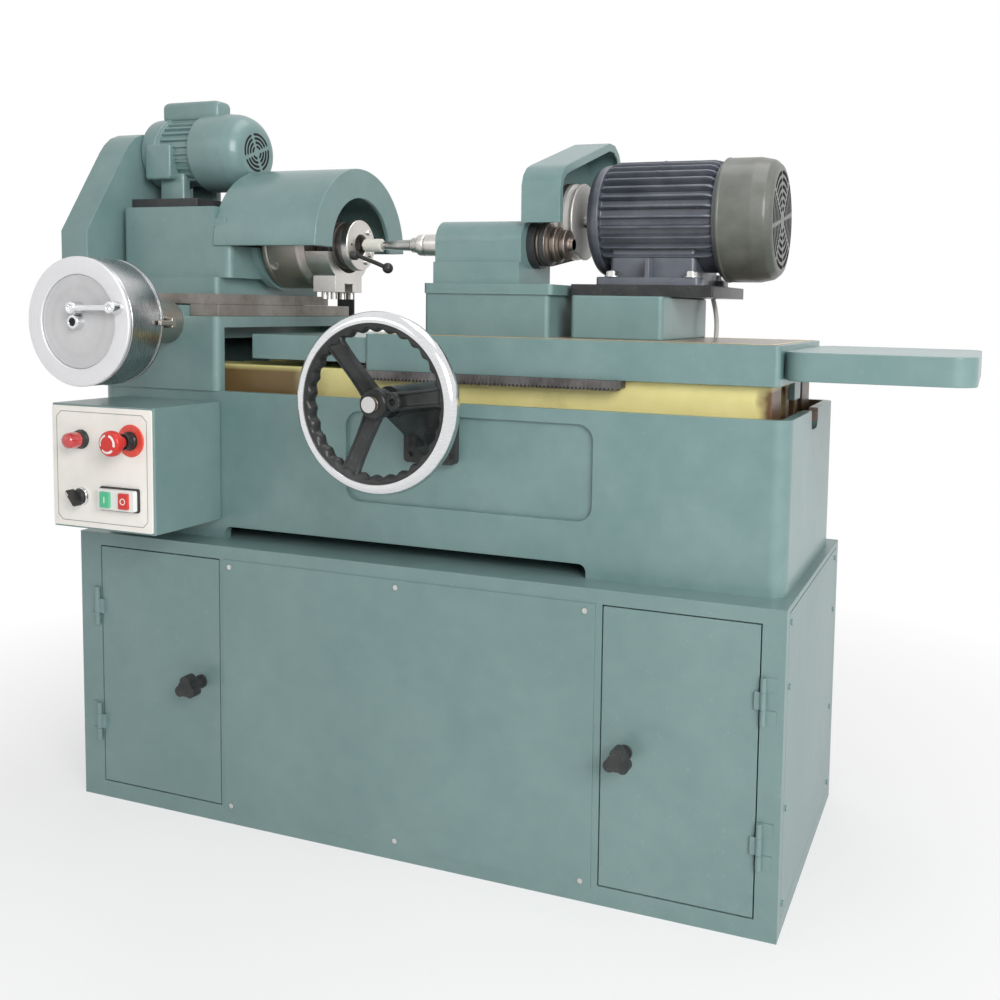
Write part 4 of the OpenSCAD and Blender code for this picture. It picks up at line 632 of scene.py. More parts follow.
def build_handwheel():
    """Rim: a half-round chrome band turned round the wheel's axis, and inside it a black band whose inner
    line swells and sinks thirty times like finger grips. Spokes: flat bars with raised edges, carried from
    hub to rim."""
    turn = np.radians(np.linspace(-100, 100, 15))
    band = np.stack([13.2 * np.sin(turn), 113 + 13.2 * np.cos(turn)], axis=-1)
    band = np.concatenate([band, [[9, 108.5], [-9, 108.5]], band[:1]])
    piece("handwheel_chrome_band", "handwheel", CHROME, [turned("front", WHEEL, band, 144)],
          stands_for=["handwheel_rim"])
    angle = np.linspace(0, 2 * math.pi, 360, endpoint=False)
    wave = np.cos(30 * angle)
    section = np.array([[11.5, 110.8, 0], [11.8, 107, 0.1], [10.0, 103.4, 0.6], [5.0, 100.6, 1.0],
                        [0, 99.8, 1.0], [-5.0, 100.6, 1.0], [-9.5, 103.4, 0.6], [-11.6, 107, 0.1],
                        [-11.5, 110.8, 0]])
    radius = section[:, 1][:, None] + 2.1 * section[:, 2][:, None] * wave[None, :]
    out = section[:, 0][:, None] + 0 * radius
    grip = facing("front", WHEEL, radius * np.cos(angle), radius * np.sin(angle), out)
    close = np.concatenate([grip, grip[:1]])
    piece("handwheel_grip_ring", "handwheel", BLACK_PLASTIC, [(close, False, True)], sharp=60)
    reach = np.linspace(14, 108, 24)
    half = 12.0 + 2.2 * ((reach - 62) / 48) ** 2
    half = half + 3.5 * np.clip((reach - 96) / 12, 0, 1) ** 2
    web = np.array([[-1, -3.2], [-0.98, 4.2], [-0.86, 6.2], [-0.72, 6.2], [-0.62, 3.4], [-0.5, 2.6],
                    [0.5, 2.6], [0.62, 3.4], [0.72, 6.2], [0.86, 6.2], [0.98, 4.2], [1, -3.2],
                    [0.6, -5], [-0.6, -5]])
    dish = -3.0 * np.cos((reach - 14) / 94 * math.pi)
    across = reach[:, None] + 0 * web[None, :, 0]
    upward = half[:, None] * web[None, :, 0]
    depth = dish[:, None] + web[None, :, 1]
    bar = facing("front", WHEEL, across, upward, depth)
    ends = [np.repeat(bar[k:k + 1].mean(axis=1, keepdims=True), bar.shape[1], axis=1) for k in (0, -1)]
    spoke = (np.concatenate([ends[0], bar, ends[1]]), False, True)
    hub = eased([(-16, 0), (-16, 20), (2, 22.5), (9.5, 21), (12.5, 17.5), (12.5, 0)], 2.5)
    boss = eased([(-8, 0), (-8, 13), (7, 12.5), (10.5, 10.5), (10.5, 4.6), (4, 4.2), (4, 0)], 1.2)
    piece("handwheel_spokes", "handwheel", BLACK, [spun(spoke, WHEEL, "front", (8, 128, 248)),
            turned("front", WHEEL, hub, 72), turned("front", (WHEEL[0] + 30, WHEEL[1], WHEEL[2] + 4), boss,
            48)], stands_for=["handwheel_spider"])
    nut = stacked("front", WHEEL, np.stack([many_sided(6, r, 1.0) for r in (8.4, 8.4, 7.6)]),
                  (12, 17.2, 18.4))
    washer = turned("front", WHEEL, eased([(12, 0), (12, 10.5), (14, 10.5), (14, 0)], 0.5), 48)
    stub = turned("front", WHEEL, eased([(14, 0), (14, 4.6), (20.5, 4.6), (21, 0)], 0.8), 32)
    piece("handwheel_nut", "handwheel", BRASS, [nut, washer, stub])


def many_sided(sides, radius, ease):
    """A loop round a regular many-sided shape whose corners are eased."""
    angle = np.linspace(0, 2 * math.pi, sides, endpoint=False)
    return eased(np.stack([radius * np.cos(angle), radius * np.sin(angle)], axis=-1), ease, 2, closed=True)


def build_dial():
    """Drum, band and disc: stepped profiles turned round the feed screw's axis, the disc set back inside
    the band. Crank: a round bar carried between two turned bosses, thinner in its middle."""
    drum = [(-76, 0), (-76, 92), (-72, 97), (-68, 97), (-68, 95.5), (-62, 95.5), (-62, 97.4), (-9, 97.4),
            (-8, 96.4), (-5.6, 96.4), (-5.6, 0)]
    lathe("dial_body", "dial", DIAL_CHROME, "front", DIAL, drum, 1.0, 180, stands_for=["dial_drum"])
    band = [(-5.5, 90), (-5.5, 98), (-1.2, 98), (0.4, 96.4), (0.4, 72.5), (-1.0, 71), (-5.5, 71),
            (-5.5, 90)]
    lathe("dial_band", "dial", DIAL_WHITE, "front", DIAL, band, 0.8, 180)
    lip = [(-5.2, 0), (-5.2, 70.6), (-2.2, 70.6), (-1.4, 69.8), (-1.4, 67.8), (-2.0, 67.2), (-2.0, 0)]
    lathe("dial_disc", "dial", DIAL_DISC, "front", DIAL, lip, 0.4, 180)
    hub = [(-2.2, 0), (-2.2, 12.0), (0, 11.2), (9, 10.8), (10.5, 9.4), (10.5, 6.6), (9.8, 6.2)]
    lathe("dial_hub", "dial", CHROME, "front", DIAL, hub, 0.8, 64)
    # The hex socket's hole, its dark well painted shadow
    well = np.stack([many_sided(6, r, 0.5) for r in (7.2, 6.2, 6.2)])
    piece("dial_socket", "dial", PAINTED_SLOT_SHADOW, [stacked("front", DIAL, well, (9.0, 10.0, 10.2))],
          slot="black_plastic")
    lift, arm = 21.0, 74.0
    stations = np.linspace(0, 1, 16)
    start = np.array([DIAL[0] + 5, DIAL[1] - 13, DIAL[2] + lift])
    path = start + np.stack([arm * stations, 0 * stations, 1.5 * stations], axis=-1)
    bar = carried(path, ring_of(6.0, 20), (0, 1, 0), scale=1 - 0.24 * np.sin(math.pi * stations))
    end = eased([(-2, 0), (-2, 8.4), (1, 9.6), (17, 9.6), (20, 8.0), (20, 4.4), (17.5, 4.0), (17.5, 0)],
                1.2, 3)
    bosses = [turned("front", (DIAL[0] + 5 + across, DIAL[1], DIAL[2] + lift + up), end, 48)
              for across, up in ((0, 0), (arm, 1.5))]
    piece("dial_crank", "dial", CHROME, [bar] + bosses)


def framed(way, origin, loop, width, rise):
    """A raised line along a closed loop: its four section corners set inwards along the loop's own
    normals."""
    ahead = np.roll(loop, -1, axis=0) - np.roll(loop, 1, axis=0)
    ahead = ahead / np.linalg.norm(ahead, axis=1, keepdims=True)
    inward = np.stack([-ahead[:, 1], ahead[:, 0]], axis=-1)
    steps = np.array([[0, -0.1], [0, rise * 0.8], [width * 0.25, rise], [width * 0.75, rise],
                      [width, rise * 0.8], [width, -0.1], [0, -0.1]])
    line = loop[None] + steps[:, 0][:, None, None] * inward[None]
    level = steps[:, 1][:, None] + 0 * line[..., 0]
    return facing(way, origin, line[..., 0], line[..., 1], level), False, True


def clipped_corners(half_wide, half_high, cut, ease):
    """A rectangle whose corners are cut by a short slanted line with a small step at both ends."""
    a, b, c, s = half_wide, half_high, cut, cut * 0.42
    corner = np.array([[a, b - c - s], [a - s, b - c], [a - s, b - c + 0.1], [a - c, b - s - 0.1],
                       [a - c, b - s], [a - c - s, b]])
    flips = ((1, 1, False), (-1, 1, True), (-1, -1, False), (1, -1, True))
    line = np.concatenate([(corner[::-1] if back else corner) * (sx, sy) for sx, sy, back in flips])
    return eased(line, ease, 3, closed=True)


def build_control_box():
    """Faceplate: a thin plate with a raised line round it whose corners are clipped. Lamp, mushroom,
    selector and keys: profiles turned round, or rounded blocks stacked out of, the panel's face."""
    panel_x, _, panel_z = middle("control_faceplate")
    plate = soft_block("front", (panel_x, PANEL_Y + 2.0, panel_z), 98.2, 94.7, 2.0, 3.0, 0.6)
    piece("control_plate", "base", PANEL_WHITE, [plate], stands_for=["control_faceplate"])
    border = framed("front", (panel_x, PANEL_Y, panel_z), clipped_corners(89.5, 86.5, 6.5, 1.2), 1.1, 0.35)
    piece("control_border", "base", BORDER_GREY, [border])
    x, _, z = middle("pilot_lamp")
    collar = [(0, 0), (0, 15.2), (3.2, 15.2), (4.5, 14.0), (9.5, 13.6), (10.0, 12.6), (10.0, 0)]
    lathe("lamp_collar", "base", BLACK_PLASTIC, "front", (x, PANEL_Y, z), collar, 0.8, 64,
          stands_for=["pilot_lamp"])
    turn = np.linspace(0, 90, 9) * math.pi / 180
    dome = np.concatenate([[[8.5, 0], [8.5, 12.0], [10.5, 12.6], [24.0, 12.2]],
                           np.stack([24.5 + 9.6 * np.sin(turn), 12.1 * np.cos(turn)], axis=-1)])
    piece("lamp_lens", "base", LENS_RED, [turned("front", (x, PANEL_Y, z), dome, 90, waves=30,
            depth=0.008)])
    x, _, z = middle("estop_button")
    ring = [(0, 0), (0, 25), (1.6, 25), (2.6, 24), (2.6, 14), (2.2, 0)]
    lathe("estop_disc", "base", DISC_ORANGE, "front", (x, PANEL_Y, z), ring, 0.5, 72,
          stands_for=["estop_base"])
    stem = [(2, 0), (2, 14.6), (6, 14.6), (8, 12.6), (17.8, 12.6), (17.8, 10.9), (11, 10.9), (11, 0)]
    lathe("estop_collar", "base", BLACK_PLASTIC, "front", (x, PANEL_Y, z), stem, 0.5, 64)
    head = [(18.2, 0), (18.2, 9.5), (27, 10.2), (30.5, 13.5), (33, 18.6), (38, 19.9), (44, 19.2),
            (47, 16.2), (48, 9), (48, 0)]
    lathe("estop_mushroom", "estop_button", RED_PLASTIC, "front", (x, PANEL_Y, z), head, 2.5, 96, steps=4,
          stands_for=["estop_button"])
    sweep = np.radians(np.linspace(-46, 46, 14))
    ring_in = np.stack([11.2 * np.cos(sweep), 11.2 * np.sin(sweep)], axis=-1)
    ring_out = np.stack([14.6 * np.cos(sweep), 14.6 * np.sin(sweep)], axis=-1)
    arrow = []
    for tilt in (30, 150, 270):
        t = math.radians(tilt)
        spin = np.array([[math.cos(t), math.sin(t)], [-math.sin(t), math.cos(t)]])
        strip = np.stack([ring_in @ spin, ring_out @ spin])
        level = np.array([[48.15], [47.35]]) + 0 * strip[..., 0]
        arrow.append((facing("front", (x, PANEL_Y, z), strip[..., 0], strip[..., 1], level), False, False))
    piece("estop_arrows", "estop_button", PALE_MARK, arrow)
    x, _, z = middle("selector_base")
    bezel = [(0, 0), (0, 15), (2, 15), (5, 13.8), (5, 12.2), (4, 11.6), (4, 0)]
    lathe("selector_bezel", "base", CHROME, "front", (x, PANEL_Y, z), bezel, 0.6, 64,
          stands_for=["selector_base"])
    body = turned("front", (x, PANEL_Y, z), eased([(4.2, 0), (4.2, 11.8), (9, 11.6), (10.5, 10.6),
            (10.5, 0)], 0.8, 3), 56)
    lever = np.stack([round_box(3.2 - i, 14.5 - i, 2.6 - i, 6) for i in (0, 0, 0.2, 0.8, 1.8)])
    grip = stacked("front", (x, PANEL_Y, z), lever, (9.5, 20.0, 22.0, 23.4, 24.0))
    mark = soft_block("front", (x, PANEL_Y - 23.9, z + 9), 0.7, 4.0, 0.4, 0.5, 0.1)
    piece("selector_handle", "selector_knob", BLACK_PLASTIC, [body, spun(grip, (x, PANEL_Y, z), "front",
            (38,))], stands_for=["selector_knob"])
    piece("selector_mark", "selector_knob", PALE_MARK, [spun(mark, (x, PANEL_Y, z), "front", (38,))])
    x, _, z = middle("pushbutton_body")
    start_x, stop_x = x - 18.0, x + 18.0
    low = soft_block("front", (x, PANEL_Y, z), 37.5, 18.5, 4.5, 3.0, 1.2)
    piece("twin_button_seat", "base", BLACK_PLASTIC, [low])
    top = soft_block("front", (x, PANEL_Y, z), 36, 16, 12, 2.5, 1.0, foot=4.0)
    piece("twin_button_body", "base", WHITE_PLASTIC, [top], stands_for=["pushbutton_body"])
    for body_name, kx, paint in (("start_button", start_x, GREEN_PLASTIC), ("stop_button", stop_x,
            RED_PLASTIC)):
        key = soft_block("front", (kx, PANEL_Y, z), 9.4, 12.2, 15.6, 1.6, 1.2, foot=9.0)
        piece(body_name + "_key", body_name, paint, [key], stands_for=[body_name])
    bar = soft_block("front", (start_x, PANEL_Y - 15.5, z), 0.8, 5.0, 0.35, 0.5, 0.1)
    piece("start_button_mark", "start_button", PALE_MARK, [bar])
    ring = np.radians(np.linspace(0, 360, 32, endpoint=False))
    circle = np.stack([5.2 * np.cos(ring), 5.2 * np.sin(ring)], axis=-1)
    piece("stop_button_mark", "stop_button", PALE_MARK, [framed("front", (stop_x, PANEL_Y - 15.5, z),
            circle, 1.5, 0.35)])


def build_wheelhead_motor():
    """Fins: a tapered section stood on the barrel and carried along it, its height falling at both ends,
    repeated round the barrel. Cowl: a profile turned round the motor's axis. Grille: slots as dark arcs of
    painted shadow sunk in the end."""
    barrel = eased([(1, 0), (1, 58), (4, 76), (9, 86.5), (17, 90.5), (27, 91), (29, 84), (31, 82.5),
                    (206, 82.5), (208, 84), (210, 90.5), (217, 90.5), (217, 0)], 2.2, 3)
    barrel_at = on_axis(818, MOTOR)
    body = turned("right", barrel_at, barrel, 120)
    along = np.array([28, 28.5, 32, 40, 112, 116, 120, 196, 205, 209.5, 210])
    rise = np.array([0.0, 0.55, 0.86, 1.0, 1.0, 1.06, 1.0, 1.0, 0.86, 0.55, 0.0])
    half = np.array([2.9, 2.5, 2.1, 1.6, 0.8, -0.8, -1.6, -2.1, -2.5, -2.9])
    tall = np.array([0, 4.5, 10.0, 12.6, 13.2, 13.2, 12.6, 10.0, 4.5, 0])
    radius = 81.8 + rise[:, None] * tall[None, :]
    side = half[None, :] + 0 * radius
    fin = facing("right", barrel_at, side, radius, along[:, None] + 0 * radius)
    angles = np.array([a for a in np.arange(0, 360, 360 / 36.0) if not (132 < a < 228)])
    fins = spun((fin, False, False), barrel_at, "right", angles)
    mid_x, sole = 931, edge_of("motor_frame", 2)
    foot_l = soft_block("up", (mid_x, 220, sole), 83, 20, 12, 6, 2.5)
    foot_r = soft_block("up", (mid_x, 379, sole), 83, 19, 12, 6, 2.5)
    cheek = [soft_block("up", (mid_x, y, sole + 4), 70, 17, 56, 8, 4) for y in (246, 354)]
    belly = soft_block("up", (mid_x, 300, sole + 3), 70, 52, 40, 8, 3)
    rib = soft_block("up", (mid_x, 219, sole + 11), 4, 17, 30, 1.5, 1)
    piece("motor_barrel", "table", NAVY, [body, fins, foot_l, foot_r, belly, rib] + cheek,
          stands_for=["motor_frame"])
    cowl_x = 1036
    cowl = [(-5, 0), (-5, 92.5), (-1.0, 92.5), (-0.6, 98), (3, 98), (4, 97.2), (52, 97.2), (73, 93),
            (82.4, 85), (84, 80), (84, 0)]
    lathe("motor_cowl", "table", OLIVE, "right", on_axis(cowl_x, MOTOR), cowl, 3.0, 128, steps=5,
          stands_for=["motor_fan_cover"])
    build_grille("motor_cowl_grille", on_axis(cowl_x + 84, MOTOR), (18, 29, 40, 51, 62, 73), 6.0, 8,
                 "olive_paint", "table")
    bolts = []
    for bx in (872.0, 1000.0):
        for by in (212.0, 386.0):
            rings = np.stack([many_sided(6, r, 1.4) for r in (10.4, 10.4, 9.4)])
            bolts.append(stacked("up", (bx, by, sole + 12), rings, (1.6, 8.4, 9.6)))
            bolts.append(turned("up", (bx, by, sole + 12), eased([(0, 0), (0, 13), (1.8, 13), (1.8, 0)],
                    0.5), 40))
    piece("motor_bolt_heads", "table", SCREW_STEEL, bolts)
    plate_at = middle("motor_plate")[:2] + [edge_of("motor_plate", 2)]
    plate = soft_block("up", plate_at, 115, 104, 18, 3, 1.5)
    sockets = [turned("front", (x, edge_of("motor_plate", 1), plate_at[2] + 9),
                      eased([(0, 0), (0, 6.5), (0.5, 6.5), (0.5, 4.2), (0.2, 4), (0.2, 0)],
                            0.1), 24) for x in (850, 1000)]
    piece("motor_base_plate", "table", BLACK, [plate] + sockets, stands_for=["motor_plate"])
    rows = np.linspace(0, 1, 24)
    path = np.stack([985 + 7 * rows + 4 * np.sin(3 * rows), 404 + 0 * rows, 872 - 72 * rows], axis=-1)
    piece("motor_conduit", "table", CONDUIT_GREY, [carried(path, ring_of(4.0, 14), (0, 1, 0))])


def build_grille(name, centre, radii, width, sectors, slot, body):
    """Rings of slots: each a thin dark arc of painted shadow with rounded ends, webs of one width left
    between those of a ring."""
    half_web = math.radians(7) * 20
    span = 2 * math.pi / sectors
    arcs = []
    for radius in radii:
        sweep = np.linspace(half_web / radius, span - half_web / radius, 22)
        t = np.abs(np.linspace(-1, 1, 22))
        half = 0.5 * width * np.sqrt(np.clip(1 - np.clip((t - 0.86) / 0.14, 0, 1) ** 2, 0, 1))
        inner, outer = radius - half, radius + half
        both = np.stack([inner, outer])
        across, upward = both * np.cos(sweep)[None], both * np.sin(sweep)[None]
        strip = (facing("right", centre, across, upward, 0.15 + 0 * across), False, False)
        arcs.append(spun(strip, centre, "right", np.arange(sectors) * 360.0 / sectors + 90.0 / sectors))
    # The slot arcs are painted shadow, not openings
    piece(name, body, PAINTED_SLOT_SHADOW, arcs, slot=slot)


def belt_groove(wide_all, radius, groove_at, depth=7.0, wide=5.5):
    """Profile of a pulley with V grooves: the radius drops inside each groove and returns."""
    line = [(0, 0), (0, radius - 1.2), (1.2, radius)]
    for g in groove_at:
        line += [(g - wide, radius), (g - wide * 0.45, radius - depth), (g + wide * 0.45, radius - depth),
                 (g + wide, radius)]
    line += [(wide_all - 1.2, radius), (wide_all, radius - 1.2), (wide_all, 0)]
    return eased(line, 0.7, 2)


def build_pulleys():
    """Pulleys: grooved profiles turned round their shafts, with dished webs."""
    pulley_x = edge_of("motor_pulley", 0)
    rim = belt_groove(35, 63, (9, 26))
    face = [(0, 50), (2.5, 48.5), (4.0, 46), (4.0, 24), (2.0, 22), (0, 21), (0, 15), (1.4, 14.0), (1.4, 0)]
    rim = np.concatenate([eased(face[::-1], 1.5, 3), rim[2:]])
    piece("motor_pulley_body", "motor_rotor", PULLEY_SILVER, [turned("right", on_axis(pulley_x, MOTOR),
            rim, 128)], stands_for=["motor_pulley"])
    lathe("motor_pulley_shaft", "motor_rotor", STEEL, "right", on_axis(pulley_x - 2, MOTOR),
          [(-1, 0), (-1, 9.0), (0, 10), (44, 10), (44, 0)], 0.8, 48, steps=4)
    cone = [(0, 0), (0, 33), (1, 34), (4, 34), (5.5, 29.5), (9, 29.5), (10.5, 34), (14, 34), (15, 33),
            (16, 29), (19, 29), (20.5, 24.5), (24, 24.5), (25.5, 29), (29, 29), (30, 28), (31, 24), (34,
            24), (35.5, 19.5), (39, 19.5), (40.5, 24), (44, 24), (45, 23), (45, 12), (47, 10), (53,
            9.2), (53, 0)]
    lathe("spindle_pulley_cone", "grinding_spindle", BRONZE, "right", on_axis(edge_of("spindle_pulley", 0),
            SPINDLE), cone, 0.7, 96, steps=2, stands_for=["spindle_pulley"])


# Belt guard's turned-in edge
GUARD_LINE = [(-56, 31), (-56, 88), (-50, 104), (-38, 116), (-22, 123), (164, 182), (190, 182), (212, 170),
              (226, 148), (230, 52)]


def build_guard_edge():
    """A flat strip along the guard's open side: the guard's outline and the same line drawn inwards, one
    swept to the other, its two long edges rolled."""
    line = eased([(SPINDLE[1] + y, SPINDLE[2] + z) for y, z in GUARD_LINE], 5, 4)
    ahead = np.gradient(line, axis=0)
    ahead = ahead / np.linalg.norm(ahead, axis=1, keepdims=True)
    inward = np.stack([ahead[:, 1], -ahead[:, 0]], axis=-1)
    steps = np.array([(0.2, -1.5), (0.2, 0.2), (0.8, 0.8), (12, 0.8), (13, 0), (13, -1.5), (0.2, -1.5)])
    rows = line[None] + steps[:, :1, None] * inward[None]
    points = facing("right", (edge_of("belt_guard", 0, 1), 0, 0), rows[..., 0], rows[..., 1],
                    steps[:, 1][:, None] + 0 * rows[..., 0])
    piece("belt_guard_edge", "table", TEAL, [(points, False, False)])


def build_spindle_nose():
    """Faceplate, hub and ring: profiles turned round the spindle's axis, the hub's radius falling in two
    grooves. Screws: short profiles turned about the front direction, then turned round the axis to their
    own places."""
    body = [(0, 20), (0, 71), (3, 74), (10, 74), (11, 72.6), (13, 72.6), (14, 74), (70, 74), (74, 73),
            (82, 66), (82, 31), (84, 29.8), (107, 29.8), (107, 20), (0, 20)]
    lathe("faceplate_body", "work_spindle", FACE_STEEL, "right", on_axis(edge_of("faceplate", 0), SPINDLE),
          body, 1.2, 144, stands_for=["faceplate"])
    screw = turned("front", (290, SPINDLE[1] - 74, SPINDLE[2]), eased([(0.2, 0), (0.2, 8.4), (1.0, 8.4),
            (1.0, 7.2), (0.5, 6.8), (0.5, 4.4), (0.3, 4.2), (0.3, 0)], 0.15, 2), 36)
    piece("faceplate_screws", "work_spindle", BRIGHT_STEEL, [spun(screw, on_axis(300, SPINDLE), "right",
            (30, 150, 270))])
    hub_x = edge_of("ring_plate", 0)
    ring_x = hub_x + 30
    hub = [(-20, 17), (-20, 36), (-18, 38), (0, 38), (1, 40), (5, 40), (6, 37), (9, 37), (10, 40),
           (14, 40), (15, 37), (18, 37), (19, 40), (28, 40), (29.8, 38), (29.8, 17), (-20, 17)]
    lathe("grooved_hub", "work_spindle", DARK_IRON, "right", on_axis(hub_x, SPINDLE), hub, 0.6, 120,
          steps=2, stands_for=["ring_plate"])
    ring = [(0, 17.5), (0, 42), (1.2, 43), (12.6, 43), (14, 41.6), (14, 19.4), (12.2, 17.5), (0, 17.5)]
    pins = [turned("right", (ring_x, SPINDLE[1] + 31 * math.cos(a), SPINDLE[2] + 31 * math.sin(a)),
                   eased([(13, 0), (13, 5.0), (16.6, 5.0), (17.6, 4.0), (17.6, 2.6), (16.8, 2.4),
                          (16.8, 0)], 0.4, 2), 32) for a in np.radians((48, -28, -62))]
    # A hole in the ring face, drawn as a disc of painted shadow
    hole = turned("right", (ring_x, SPINDLE[1] - 29, SPINDLE[2]), eased([(13.6, 0), (13.6, 2.4),
            (14.2, 2.4), (14.2, 0)], 0.1), 24)
    piece("ring_face", "work_spindle", BRIGHT_STEEL, [turned("right", on_axis(ring_x, SPINDLE),
            eased(ring, 0.6, 2), 120)] + pins)
    piece("ring_face_hole", "work_spindle", PAINTED_SLOT_SHADOW, [hole], slot="iron")
    rod = np.array([[427, 182, 930], [440, 183, 925], [462, 184.6, 917.3], [480, 186, 910]])
    grip = carried(eased(rod, 6, 3), ring_of(3.6, 16), (0, 1, 0.1))
    boss = turned("right", (419.3, 182, 930), eased([(0, 0), (0, 8), (6, 8), (8, 6), (8, 0)], 1, 3), 40)
    ball = np.linspace(0, math.pi, 15)
    knob = turned("right", (483, 186, 909), np.stack([-9 * np.cos(ball), 9 * np.sin(ball)], axis=-1), 28)
    piece("lever_and_ball", "ball_lever", BLACK_PLASTIC, [grip, boss, knob], stands_for=["ball_lever"])


def build_grinding_spindle():
    """Quill, nose and arbor: one stepped profile turned round the axis; the stone is a second one, with a
    bore."""
    quill = [(-79, 0), (-79, 3.6), (-76.5, 3.6), (-76, 8), (-72.4, 8), (-72, 5.2), (-41, 5.2), (-41, 6),
             (-6, 8.6), (18, 9.6), (20, 12.4), (22, 12.4), (22, 10), (25, 10), (25, 13), (31, 13), (33,
            17.4), (44, 17.9), (45, 16.8), (47, 16.8), (48, 17.9), (92, 17.9), (92, 0)]
    lathe("spindle_quill", "grinding_spindle", BRIGHT_STEEL, "right", on_axis(500, SPINDLE), quill, 0.7,
          72, steps=2, stands_for=["grinding_spindle"])
    tail = [(0, 0), (0, 17.9), (14, 17.9), (14, 9), (67, 9), (67, 0)]
    lathe("spindle_tail", "grinding_spindle", STEEL, "right", on_axis(742, SPINDLE), tail, 0.6, 64, steps=2)
    stone = [(0, 5.1), (0, 10.4), (0.8, 11), (31.2, 11), (32, 10.4), (32, 5.1), (0, 5.1)]
    lathe("mounted_stone", "grinding_spindle", ABRASIVE, "right", on_axis(edge_of("grinding_wheel", 0),
            SPINDLE), stone, 0.4, 72, steps=2, stands_for=["grinding_wheel"])
    face = [(0, 18.2), (0, 31), (-2.4, 30), (-3.4, 28), (-3.4, 18.2), (0, 18.2)]
    lathe("front_seal", "table", DARK_IRON, "right", on_axis(edge_of("spindle_housing", 0), SPINDLE), face,
          0.6, 72, steps=2)


def build_work_motor():
    """Frame: a drum with flat-topped ribs carried along it. Cowl: a bowl profile turned round the motor's
    axis, its end a flat disc with rings of slots. Boxes: rounded loops stacked out of a face."""
    y, z = WORK_MOTOR[1], WORK_MOTOR[2]
    drum = [(19, 0), (19, 58), (22, 62), (50, 63), (51, 61), (58, 61), (59, 56), (128, 56), (128, 0)]
    body = turned("right", (0, y, z), eased(drum, 1.6, 3), 96)
    along = np.array([59, 59.5, 63, 70, 120, 130])
    rise = np.array([0.2, 0.8, 1.0, 1.0, 1.0, 1.0])
    half = np.array([2.4, 2.0, 1.5, -1.5, -2.0, -2.4])
    tall = np.array([0.0, 5.6, 6.6, 6.6, 5.6, 0.0])
    radius = 54.5 + rise[:, None] * tall[None, :]
    rib = facing("right", (0, y, z), half[None, :] + 0 * radius, radius, along[:, None] + 0 * radius)
    ribs = spun((rib, False, False), (0, y, z), "right",
                [a for a in range(0, 360, 12) if not 150 < a < 210])
    ears = [turned("right", (0, y + 50 * math.cos(a), z + 50 * math.sin(a)),
                   eased([(30, 0), (30, 7.5), (57, 7.5), (57, 5.2), (60, 5.2), (60, 0)], 0.8,
                         2), 24) for a in np.radians((45, 135, 225, 315))]
    cowl = [(122, 56), (122, 65), (125, 67), (168, 67.5), (192, 65), (207, 58), (215, 49), (218, 42),
            (218, 0)]
    feet = [soft_block("up", (92, y + side * 57, z - 103 + 0.3), 58, 19, 11, 5, 2.5) for side in (-1, 1)]
    cheeks = [soft_block("up", (76, y + side * 40, z - 97), 26, 10, 60, 6, 4) for side in (-1, 1)]
    box = [soft_block("front", (62, y - 48, z - 20), 27, 30, 20, 6, 4)]
    piece("work_motor_frame", "cross_slide", TEAL, [body, ribs] + ears + feet + cheeks + box,
          stands_for=["work_motor"])
    lathe("work_motor_cowl", "cross_slide", TEAL, "right", (0, y, z), cowl, 6.0, 112, steps=6)
    build_grille("work_motor_grille", (edge_of("work_motor", 0, 1), y, z), (10, 17, 24, 31), 4.4, 4,
                 "black_paint", "cross_slide")
    reach = np.array([0, 0.6, 2.4, 6, 11, 109, 114, 117.6, 119.4, 120])
    draw = np.array([7.0, 4.6, 2.4, 0.8, 0, 0, 0.8, 2.4, 4.6, 7.0])
    shell = stacked("right", (30, y, z + 72), round_box(20 - draw, 19 - draw, 11 - draw * 0.8, 7), reach)
    saddle = soft_block("up", (91, y, z + 52), 50, 12, 6, 3, 1)
    piece("capacitor_cover", "cross_slide", TEAL, [shell, saddle])
    screws = [turned("right", (0, y + 50 * math.cos(a), z + 50 * math.sin(a)),
                     eased([(59.5, 0), (59.5, 4.4), (63, 4.4), (63, 0)], 0.6,
                           2), 20) for a in np.radians((45, 135, 225, 315))]
    bolts = [turned("up", (x, y + side * 66, z - 92), eased([(0, 0), (0, 7), (1.4, 7), (1.4, 5), (5.5, 5),
            (5.5, 0)], 0.5), 24) for x in (52, 132) for side in (-1, 1)]
    piece("work_motor_bolts", "cross_slide", SCREW_STEEL, screws + bolts)


def build_table_field():
    """A flat rounded block a little above the table's top, and inside its edge a raised line along a
    closed loop."""
    top = edge_of("table", 2, 1)
    field_x, field_y = 836, middle("table")[1]
    field = soft_block("up", (field_x, field_y, top), 322, 168, 0.5, 4, 0.2)
    piece("table_field", "table", OILED_FIELD, [field])
    loop = round_box(316.0, 162.0, 6.0, 5)
    piece("table_border", "table", CREAM, [framed("up", (field_x, field_y, top + 0.4), loop, 3.4, 0.35)])


def place_camera():
    """The photograph's view: position, heading, pitch and roll found from the cabinet's and bed's edges."""
    yaw, pitch, roll = (math.radians(v) for v in (20.14, 4.64, 1.07))
    ahead = np.array([-math.sin(yaw) * math.cos(pitch), math.cos(yaw) * math.cos(pitch), -math.sin(pitch)])
    level = np.array([math.cos(yaw), math.sin(yaw), 0.0])
    upright = np.cross(level, ahead)
    right = level * math.cos(roll) + upright * math.sin(roll)
    up = np.cross(right, ahead)
    camera = bpy.data.cameras.new("view")
    camera.sensor_width = 36.0
    camera.lens = 38.57
    camera.shift_x = -0.101
    camera.shift_y = -0.104
    camera.clip_end = 60.0
    holder = bpy.data.objects.new("view", camera)
    bpy.context.scene.collection.objects.link(holder)
    turn = Matrix((right, up, -ahead)).transposed().to_4x4()
    turn.translation = Vector(at(1439.86, -1378.56, 847.7))
    holder.matrix_world = turn
    bpy.context.scene.camera = holder


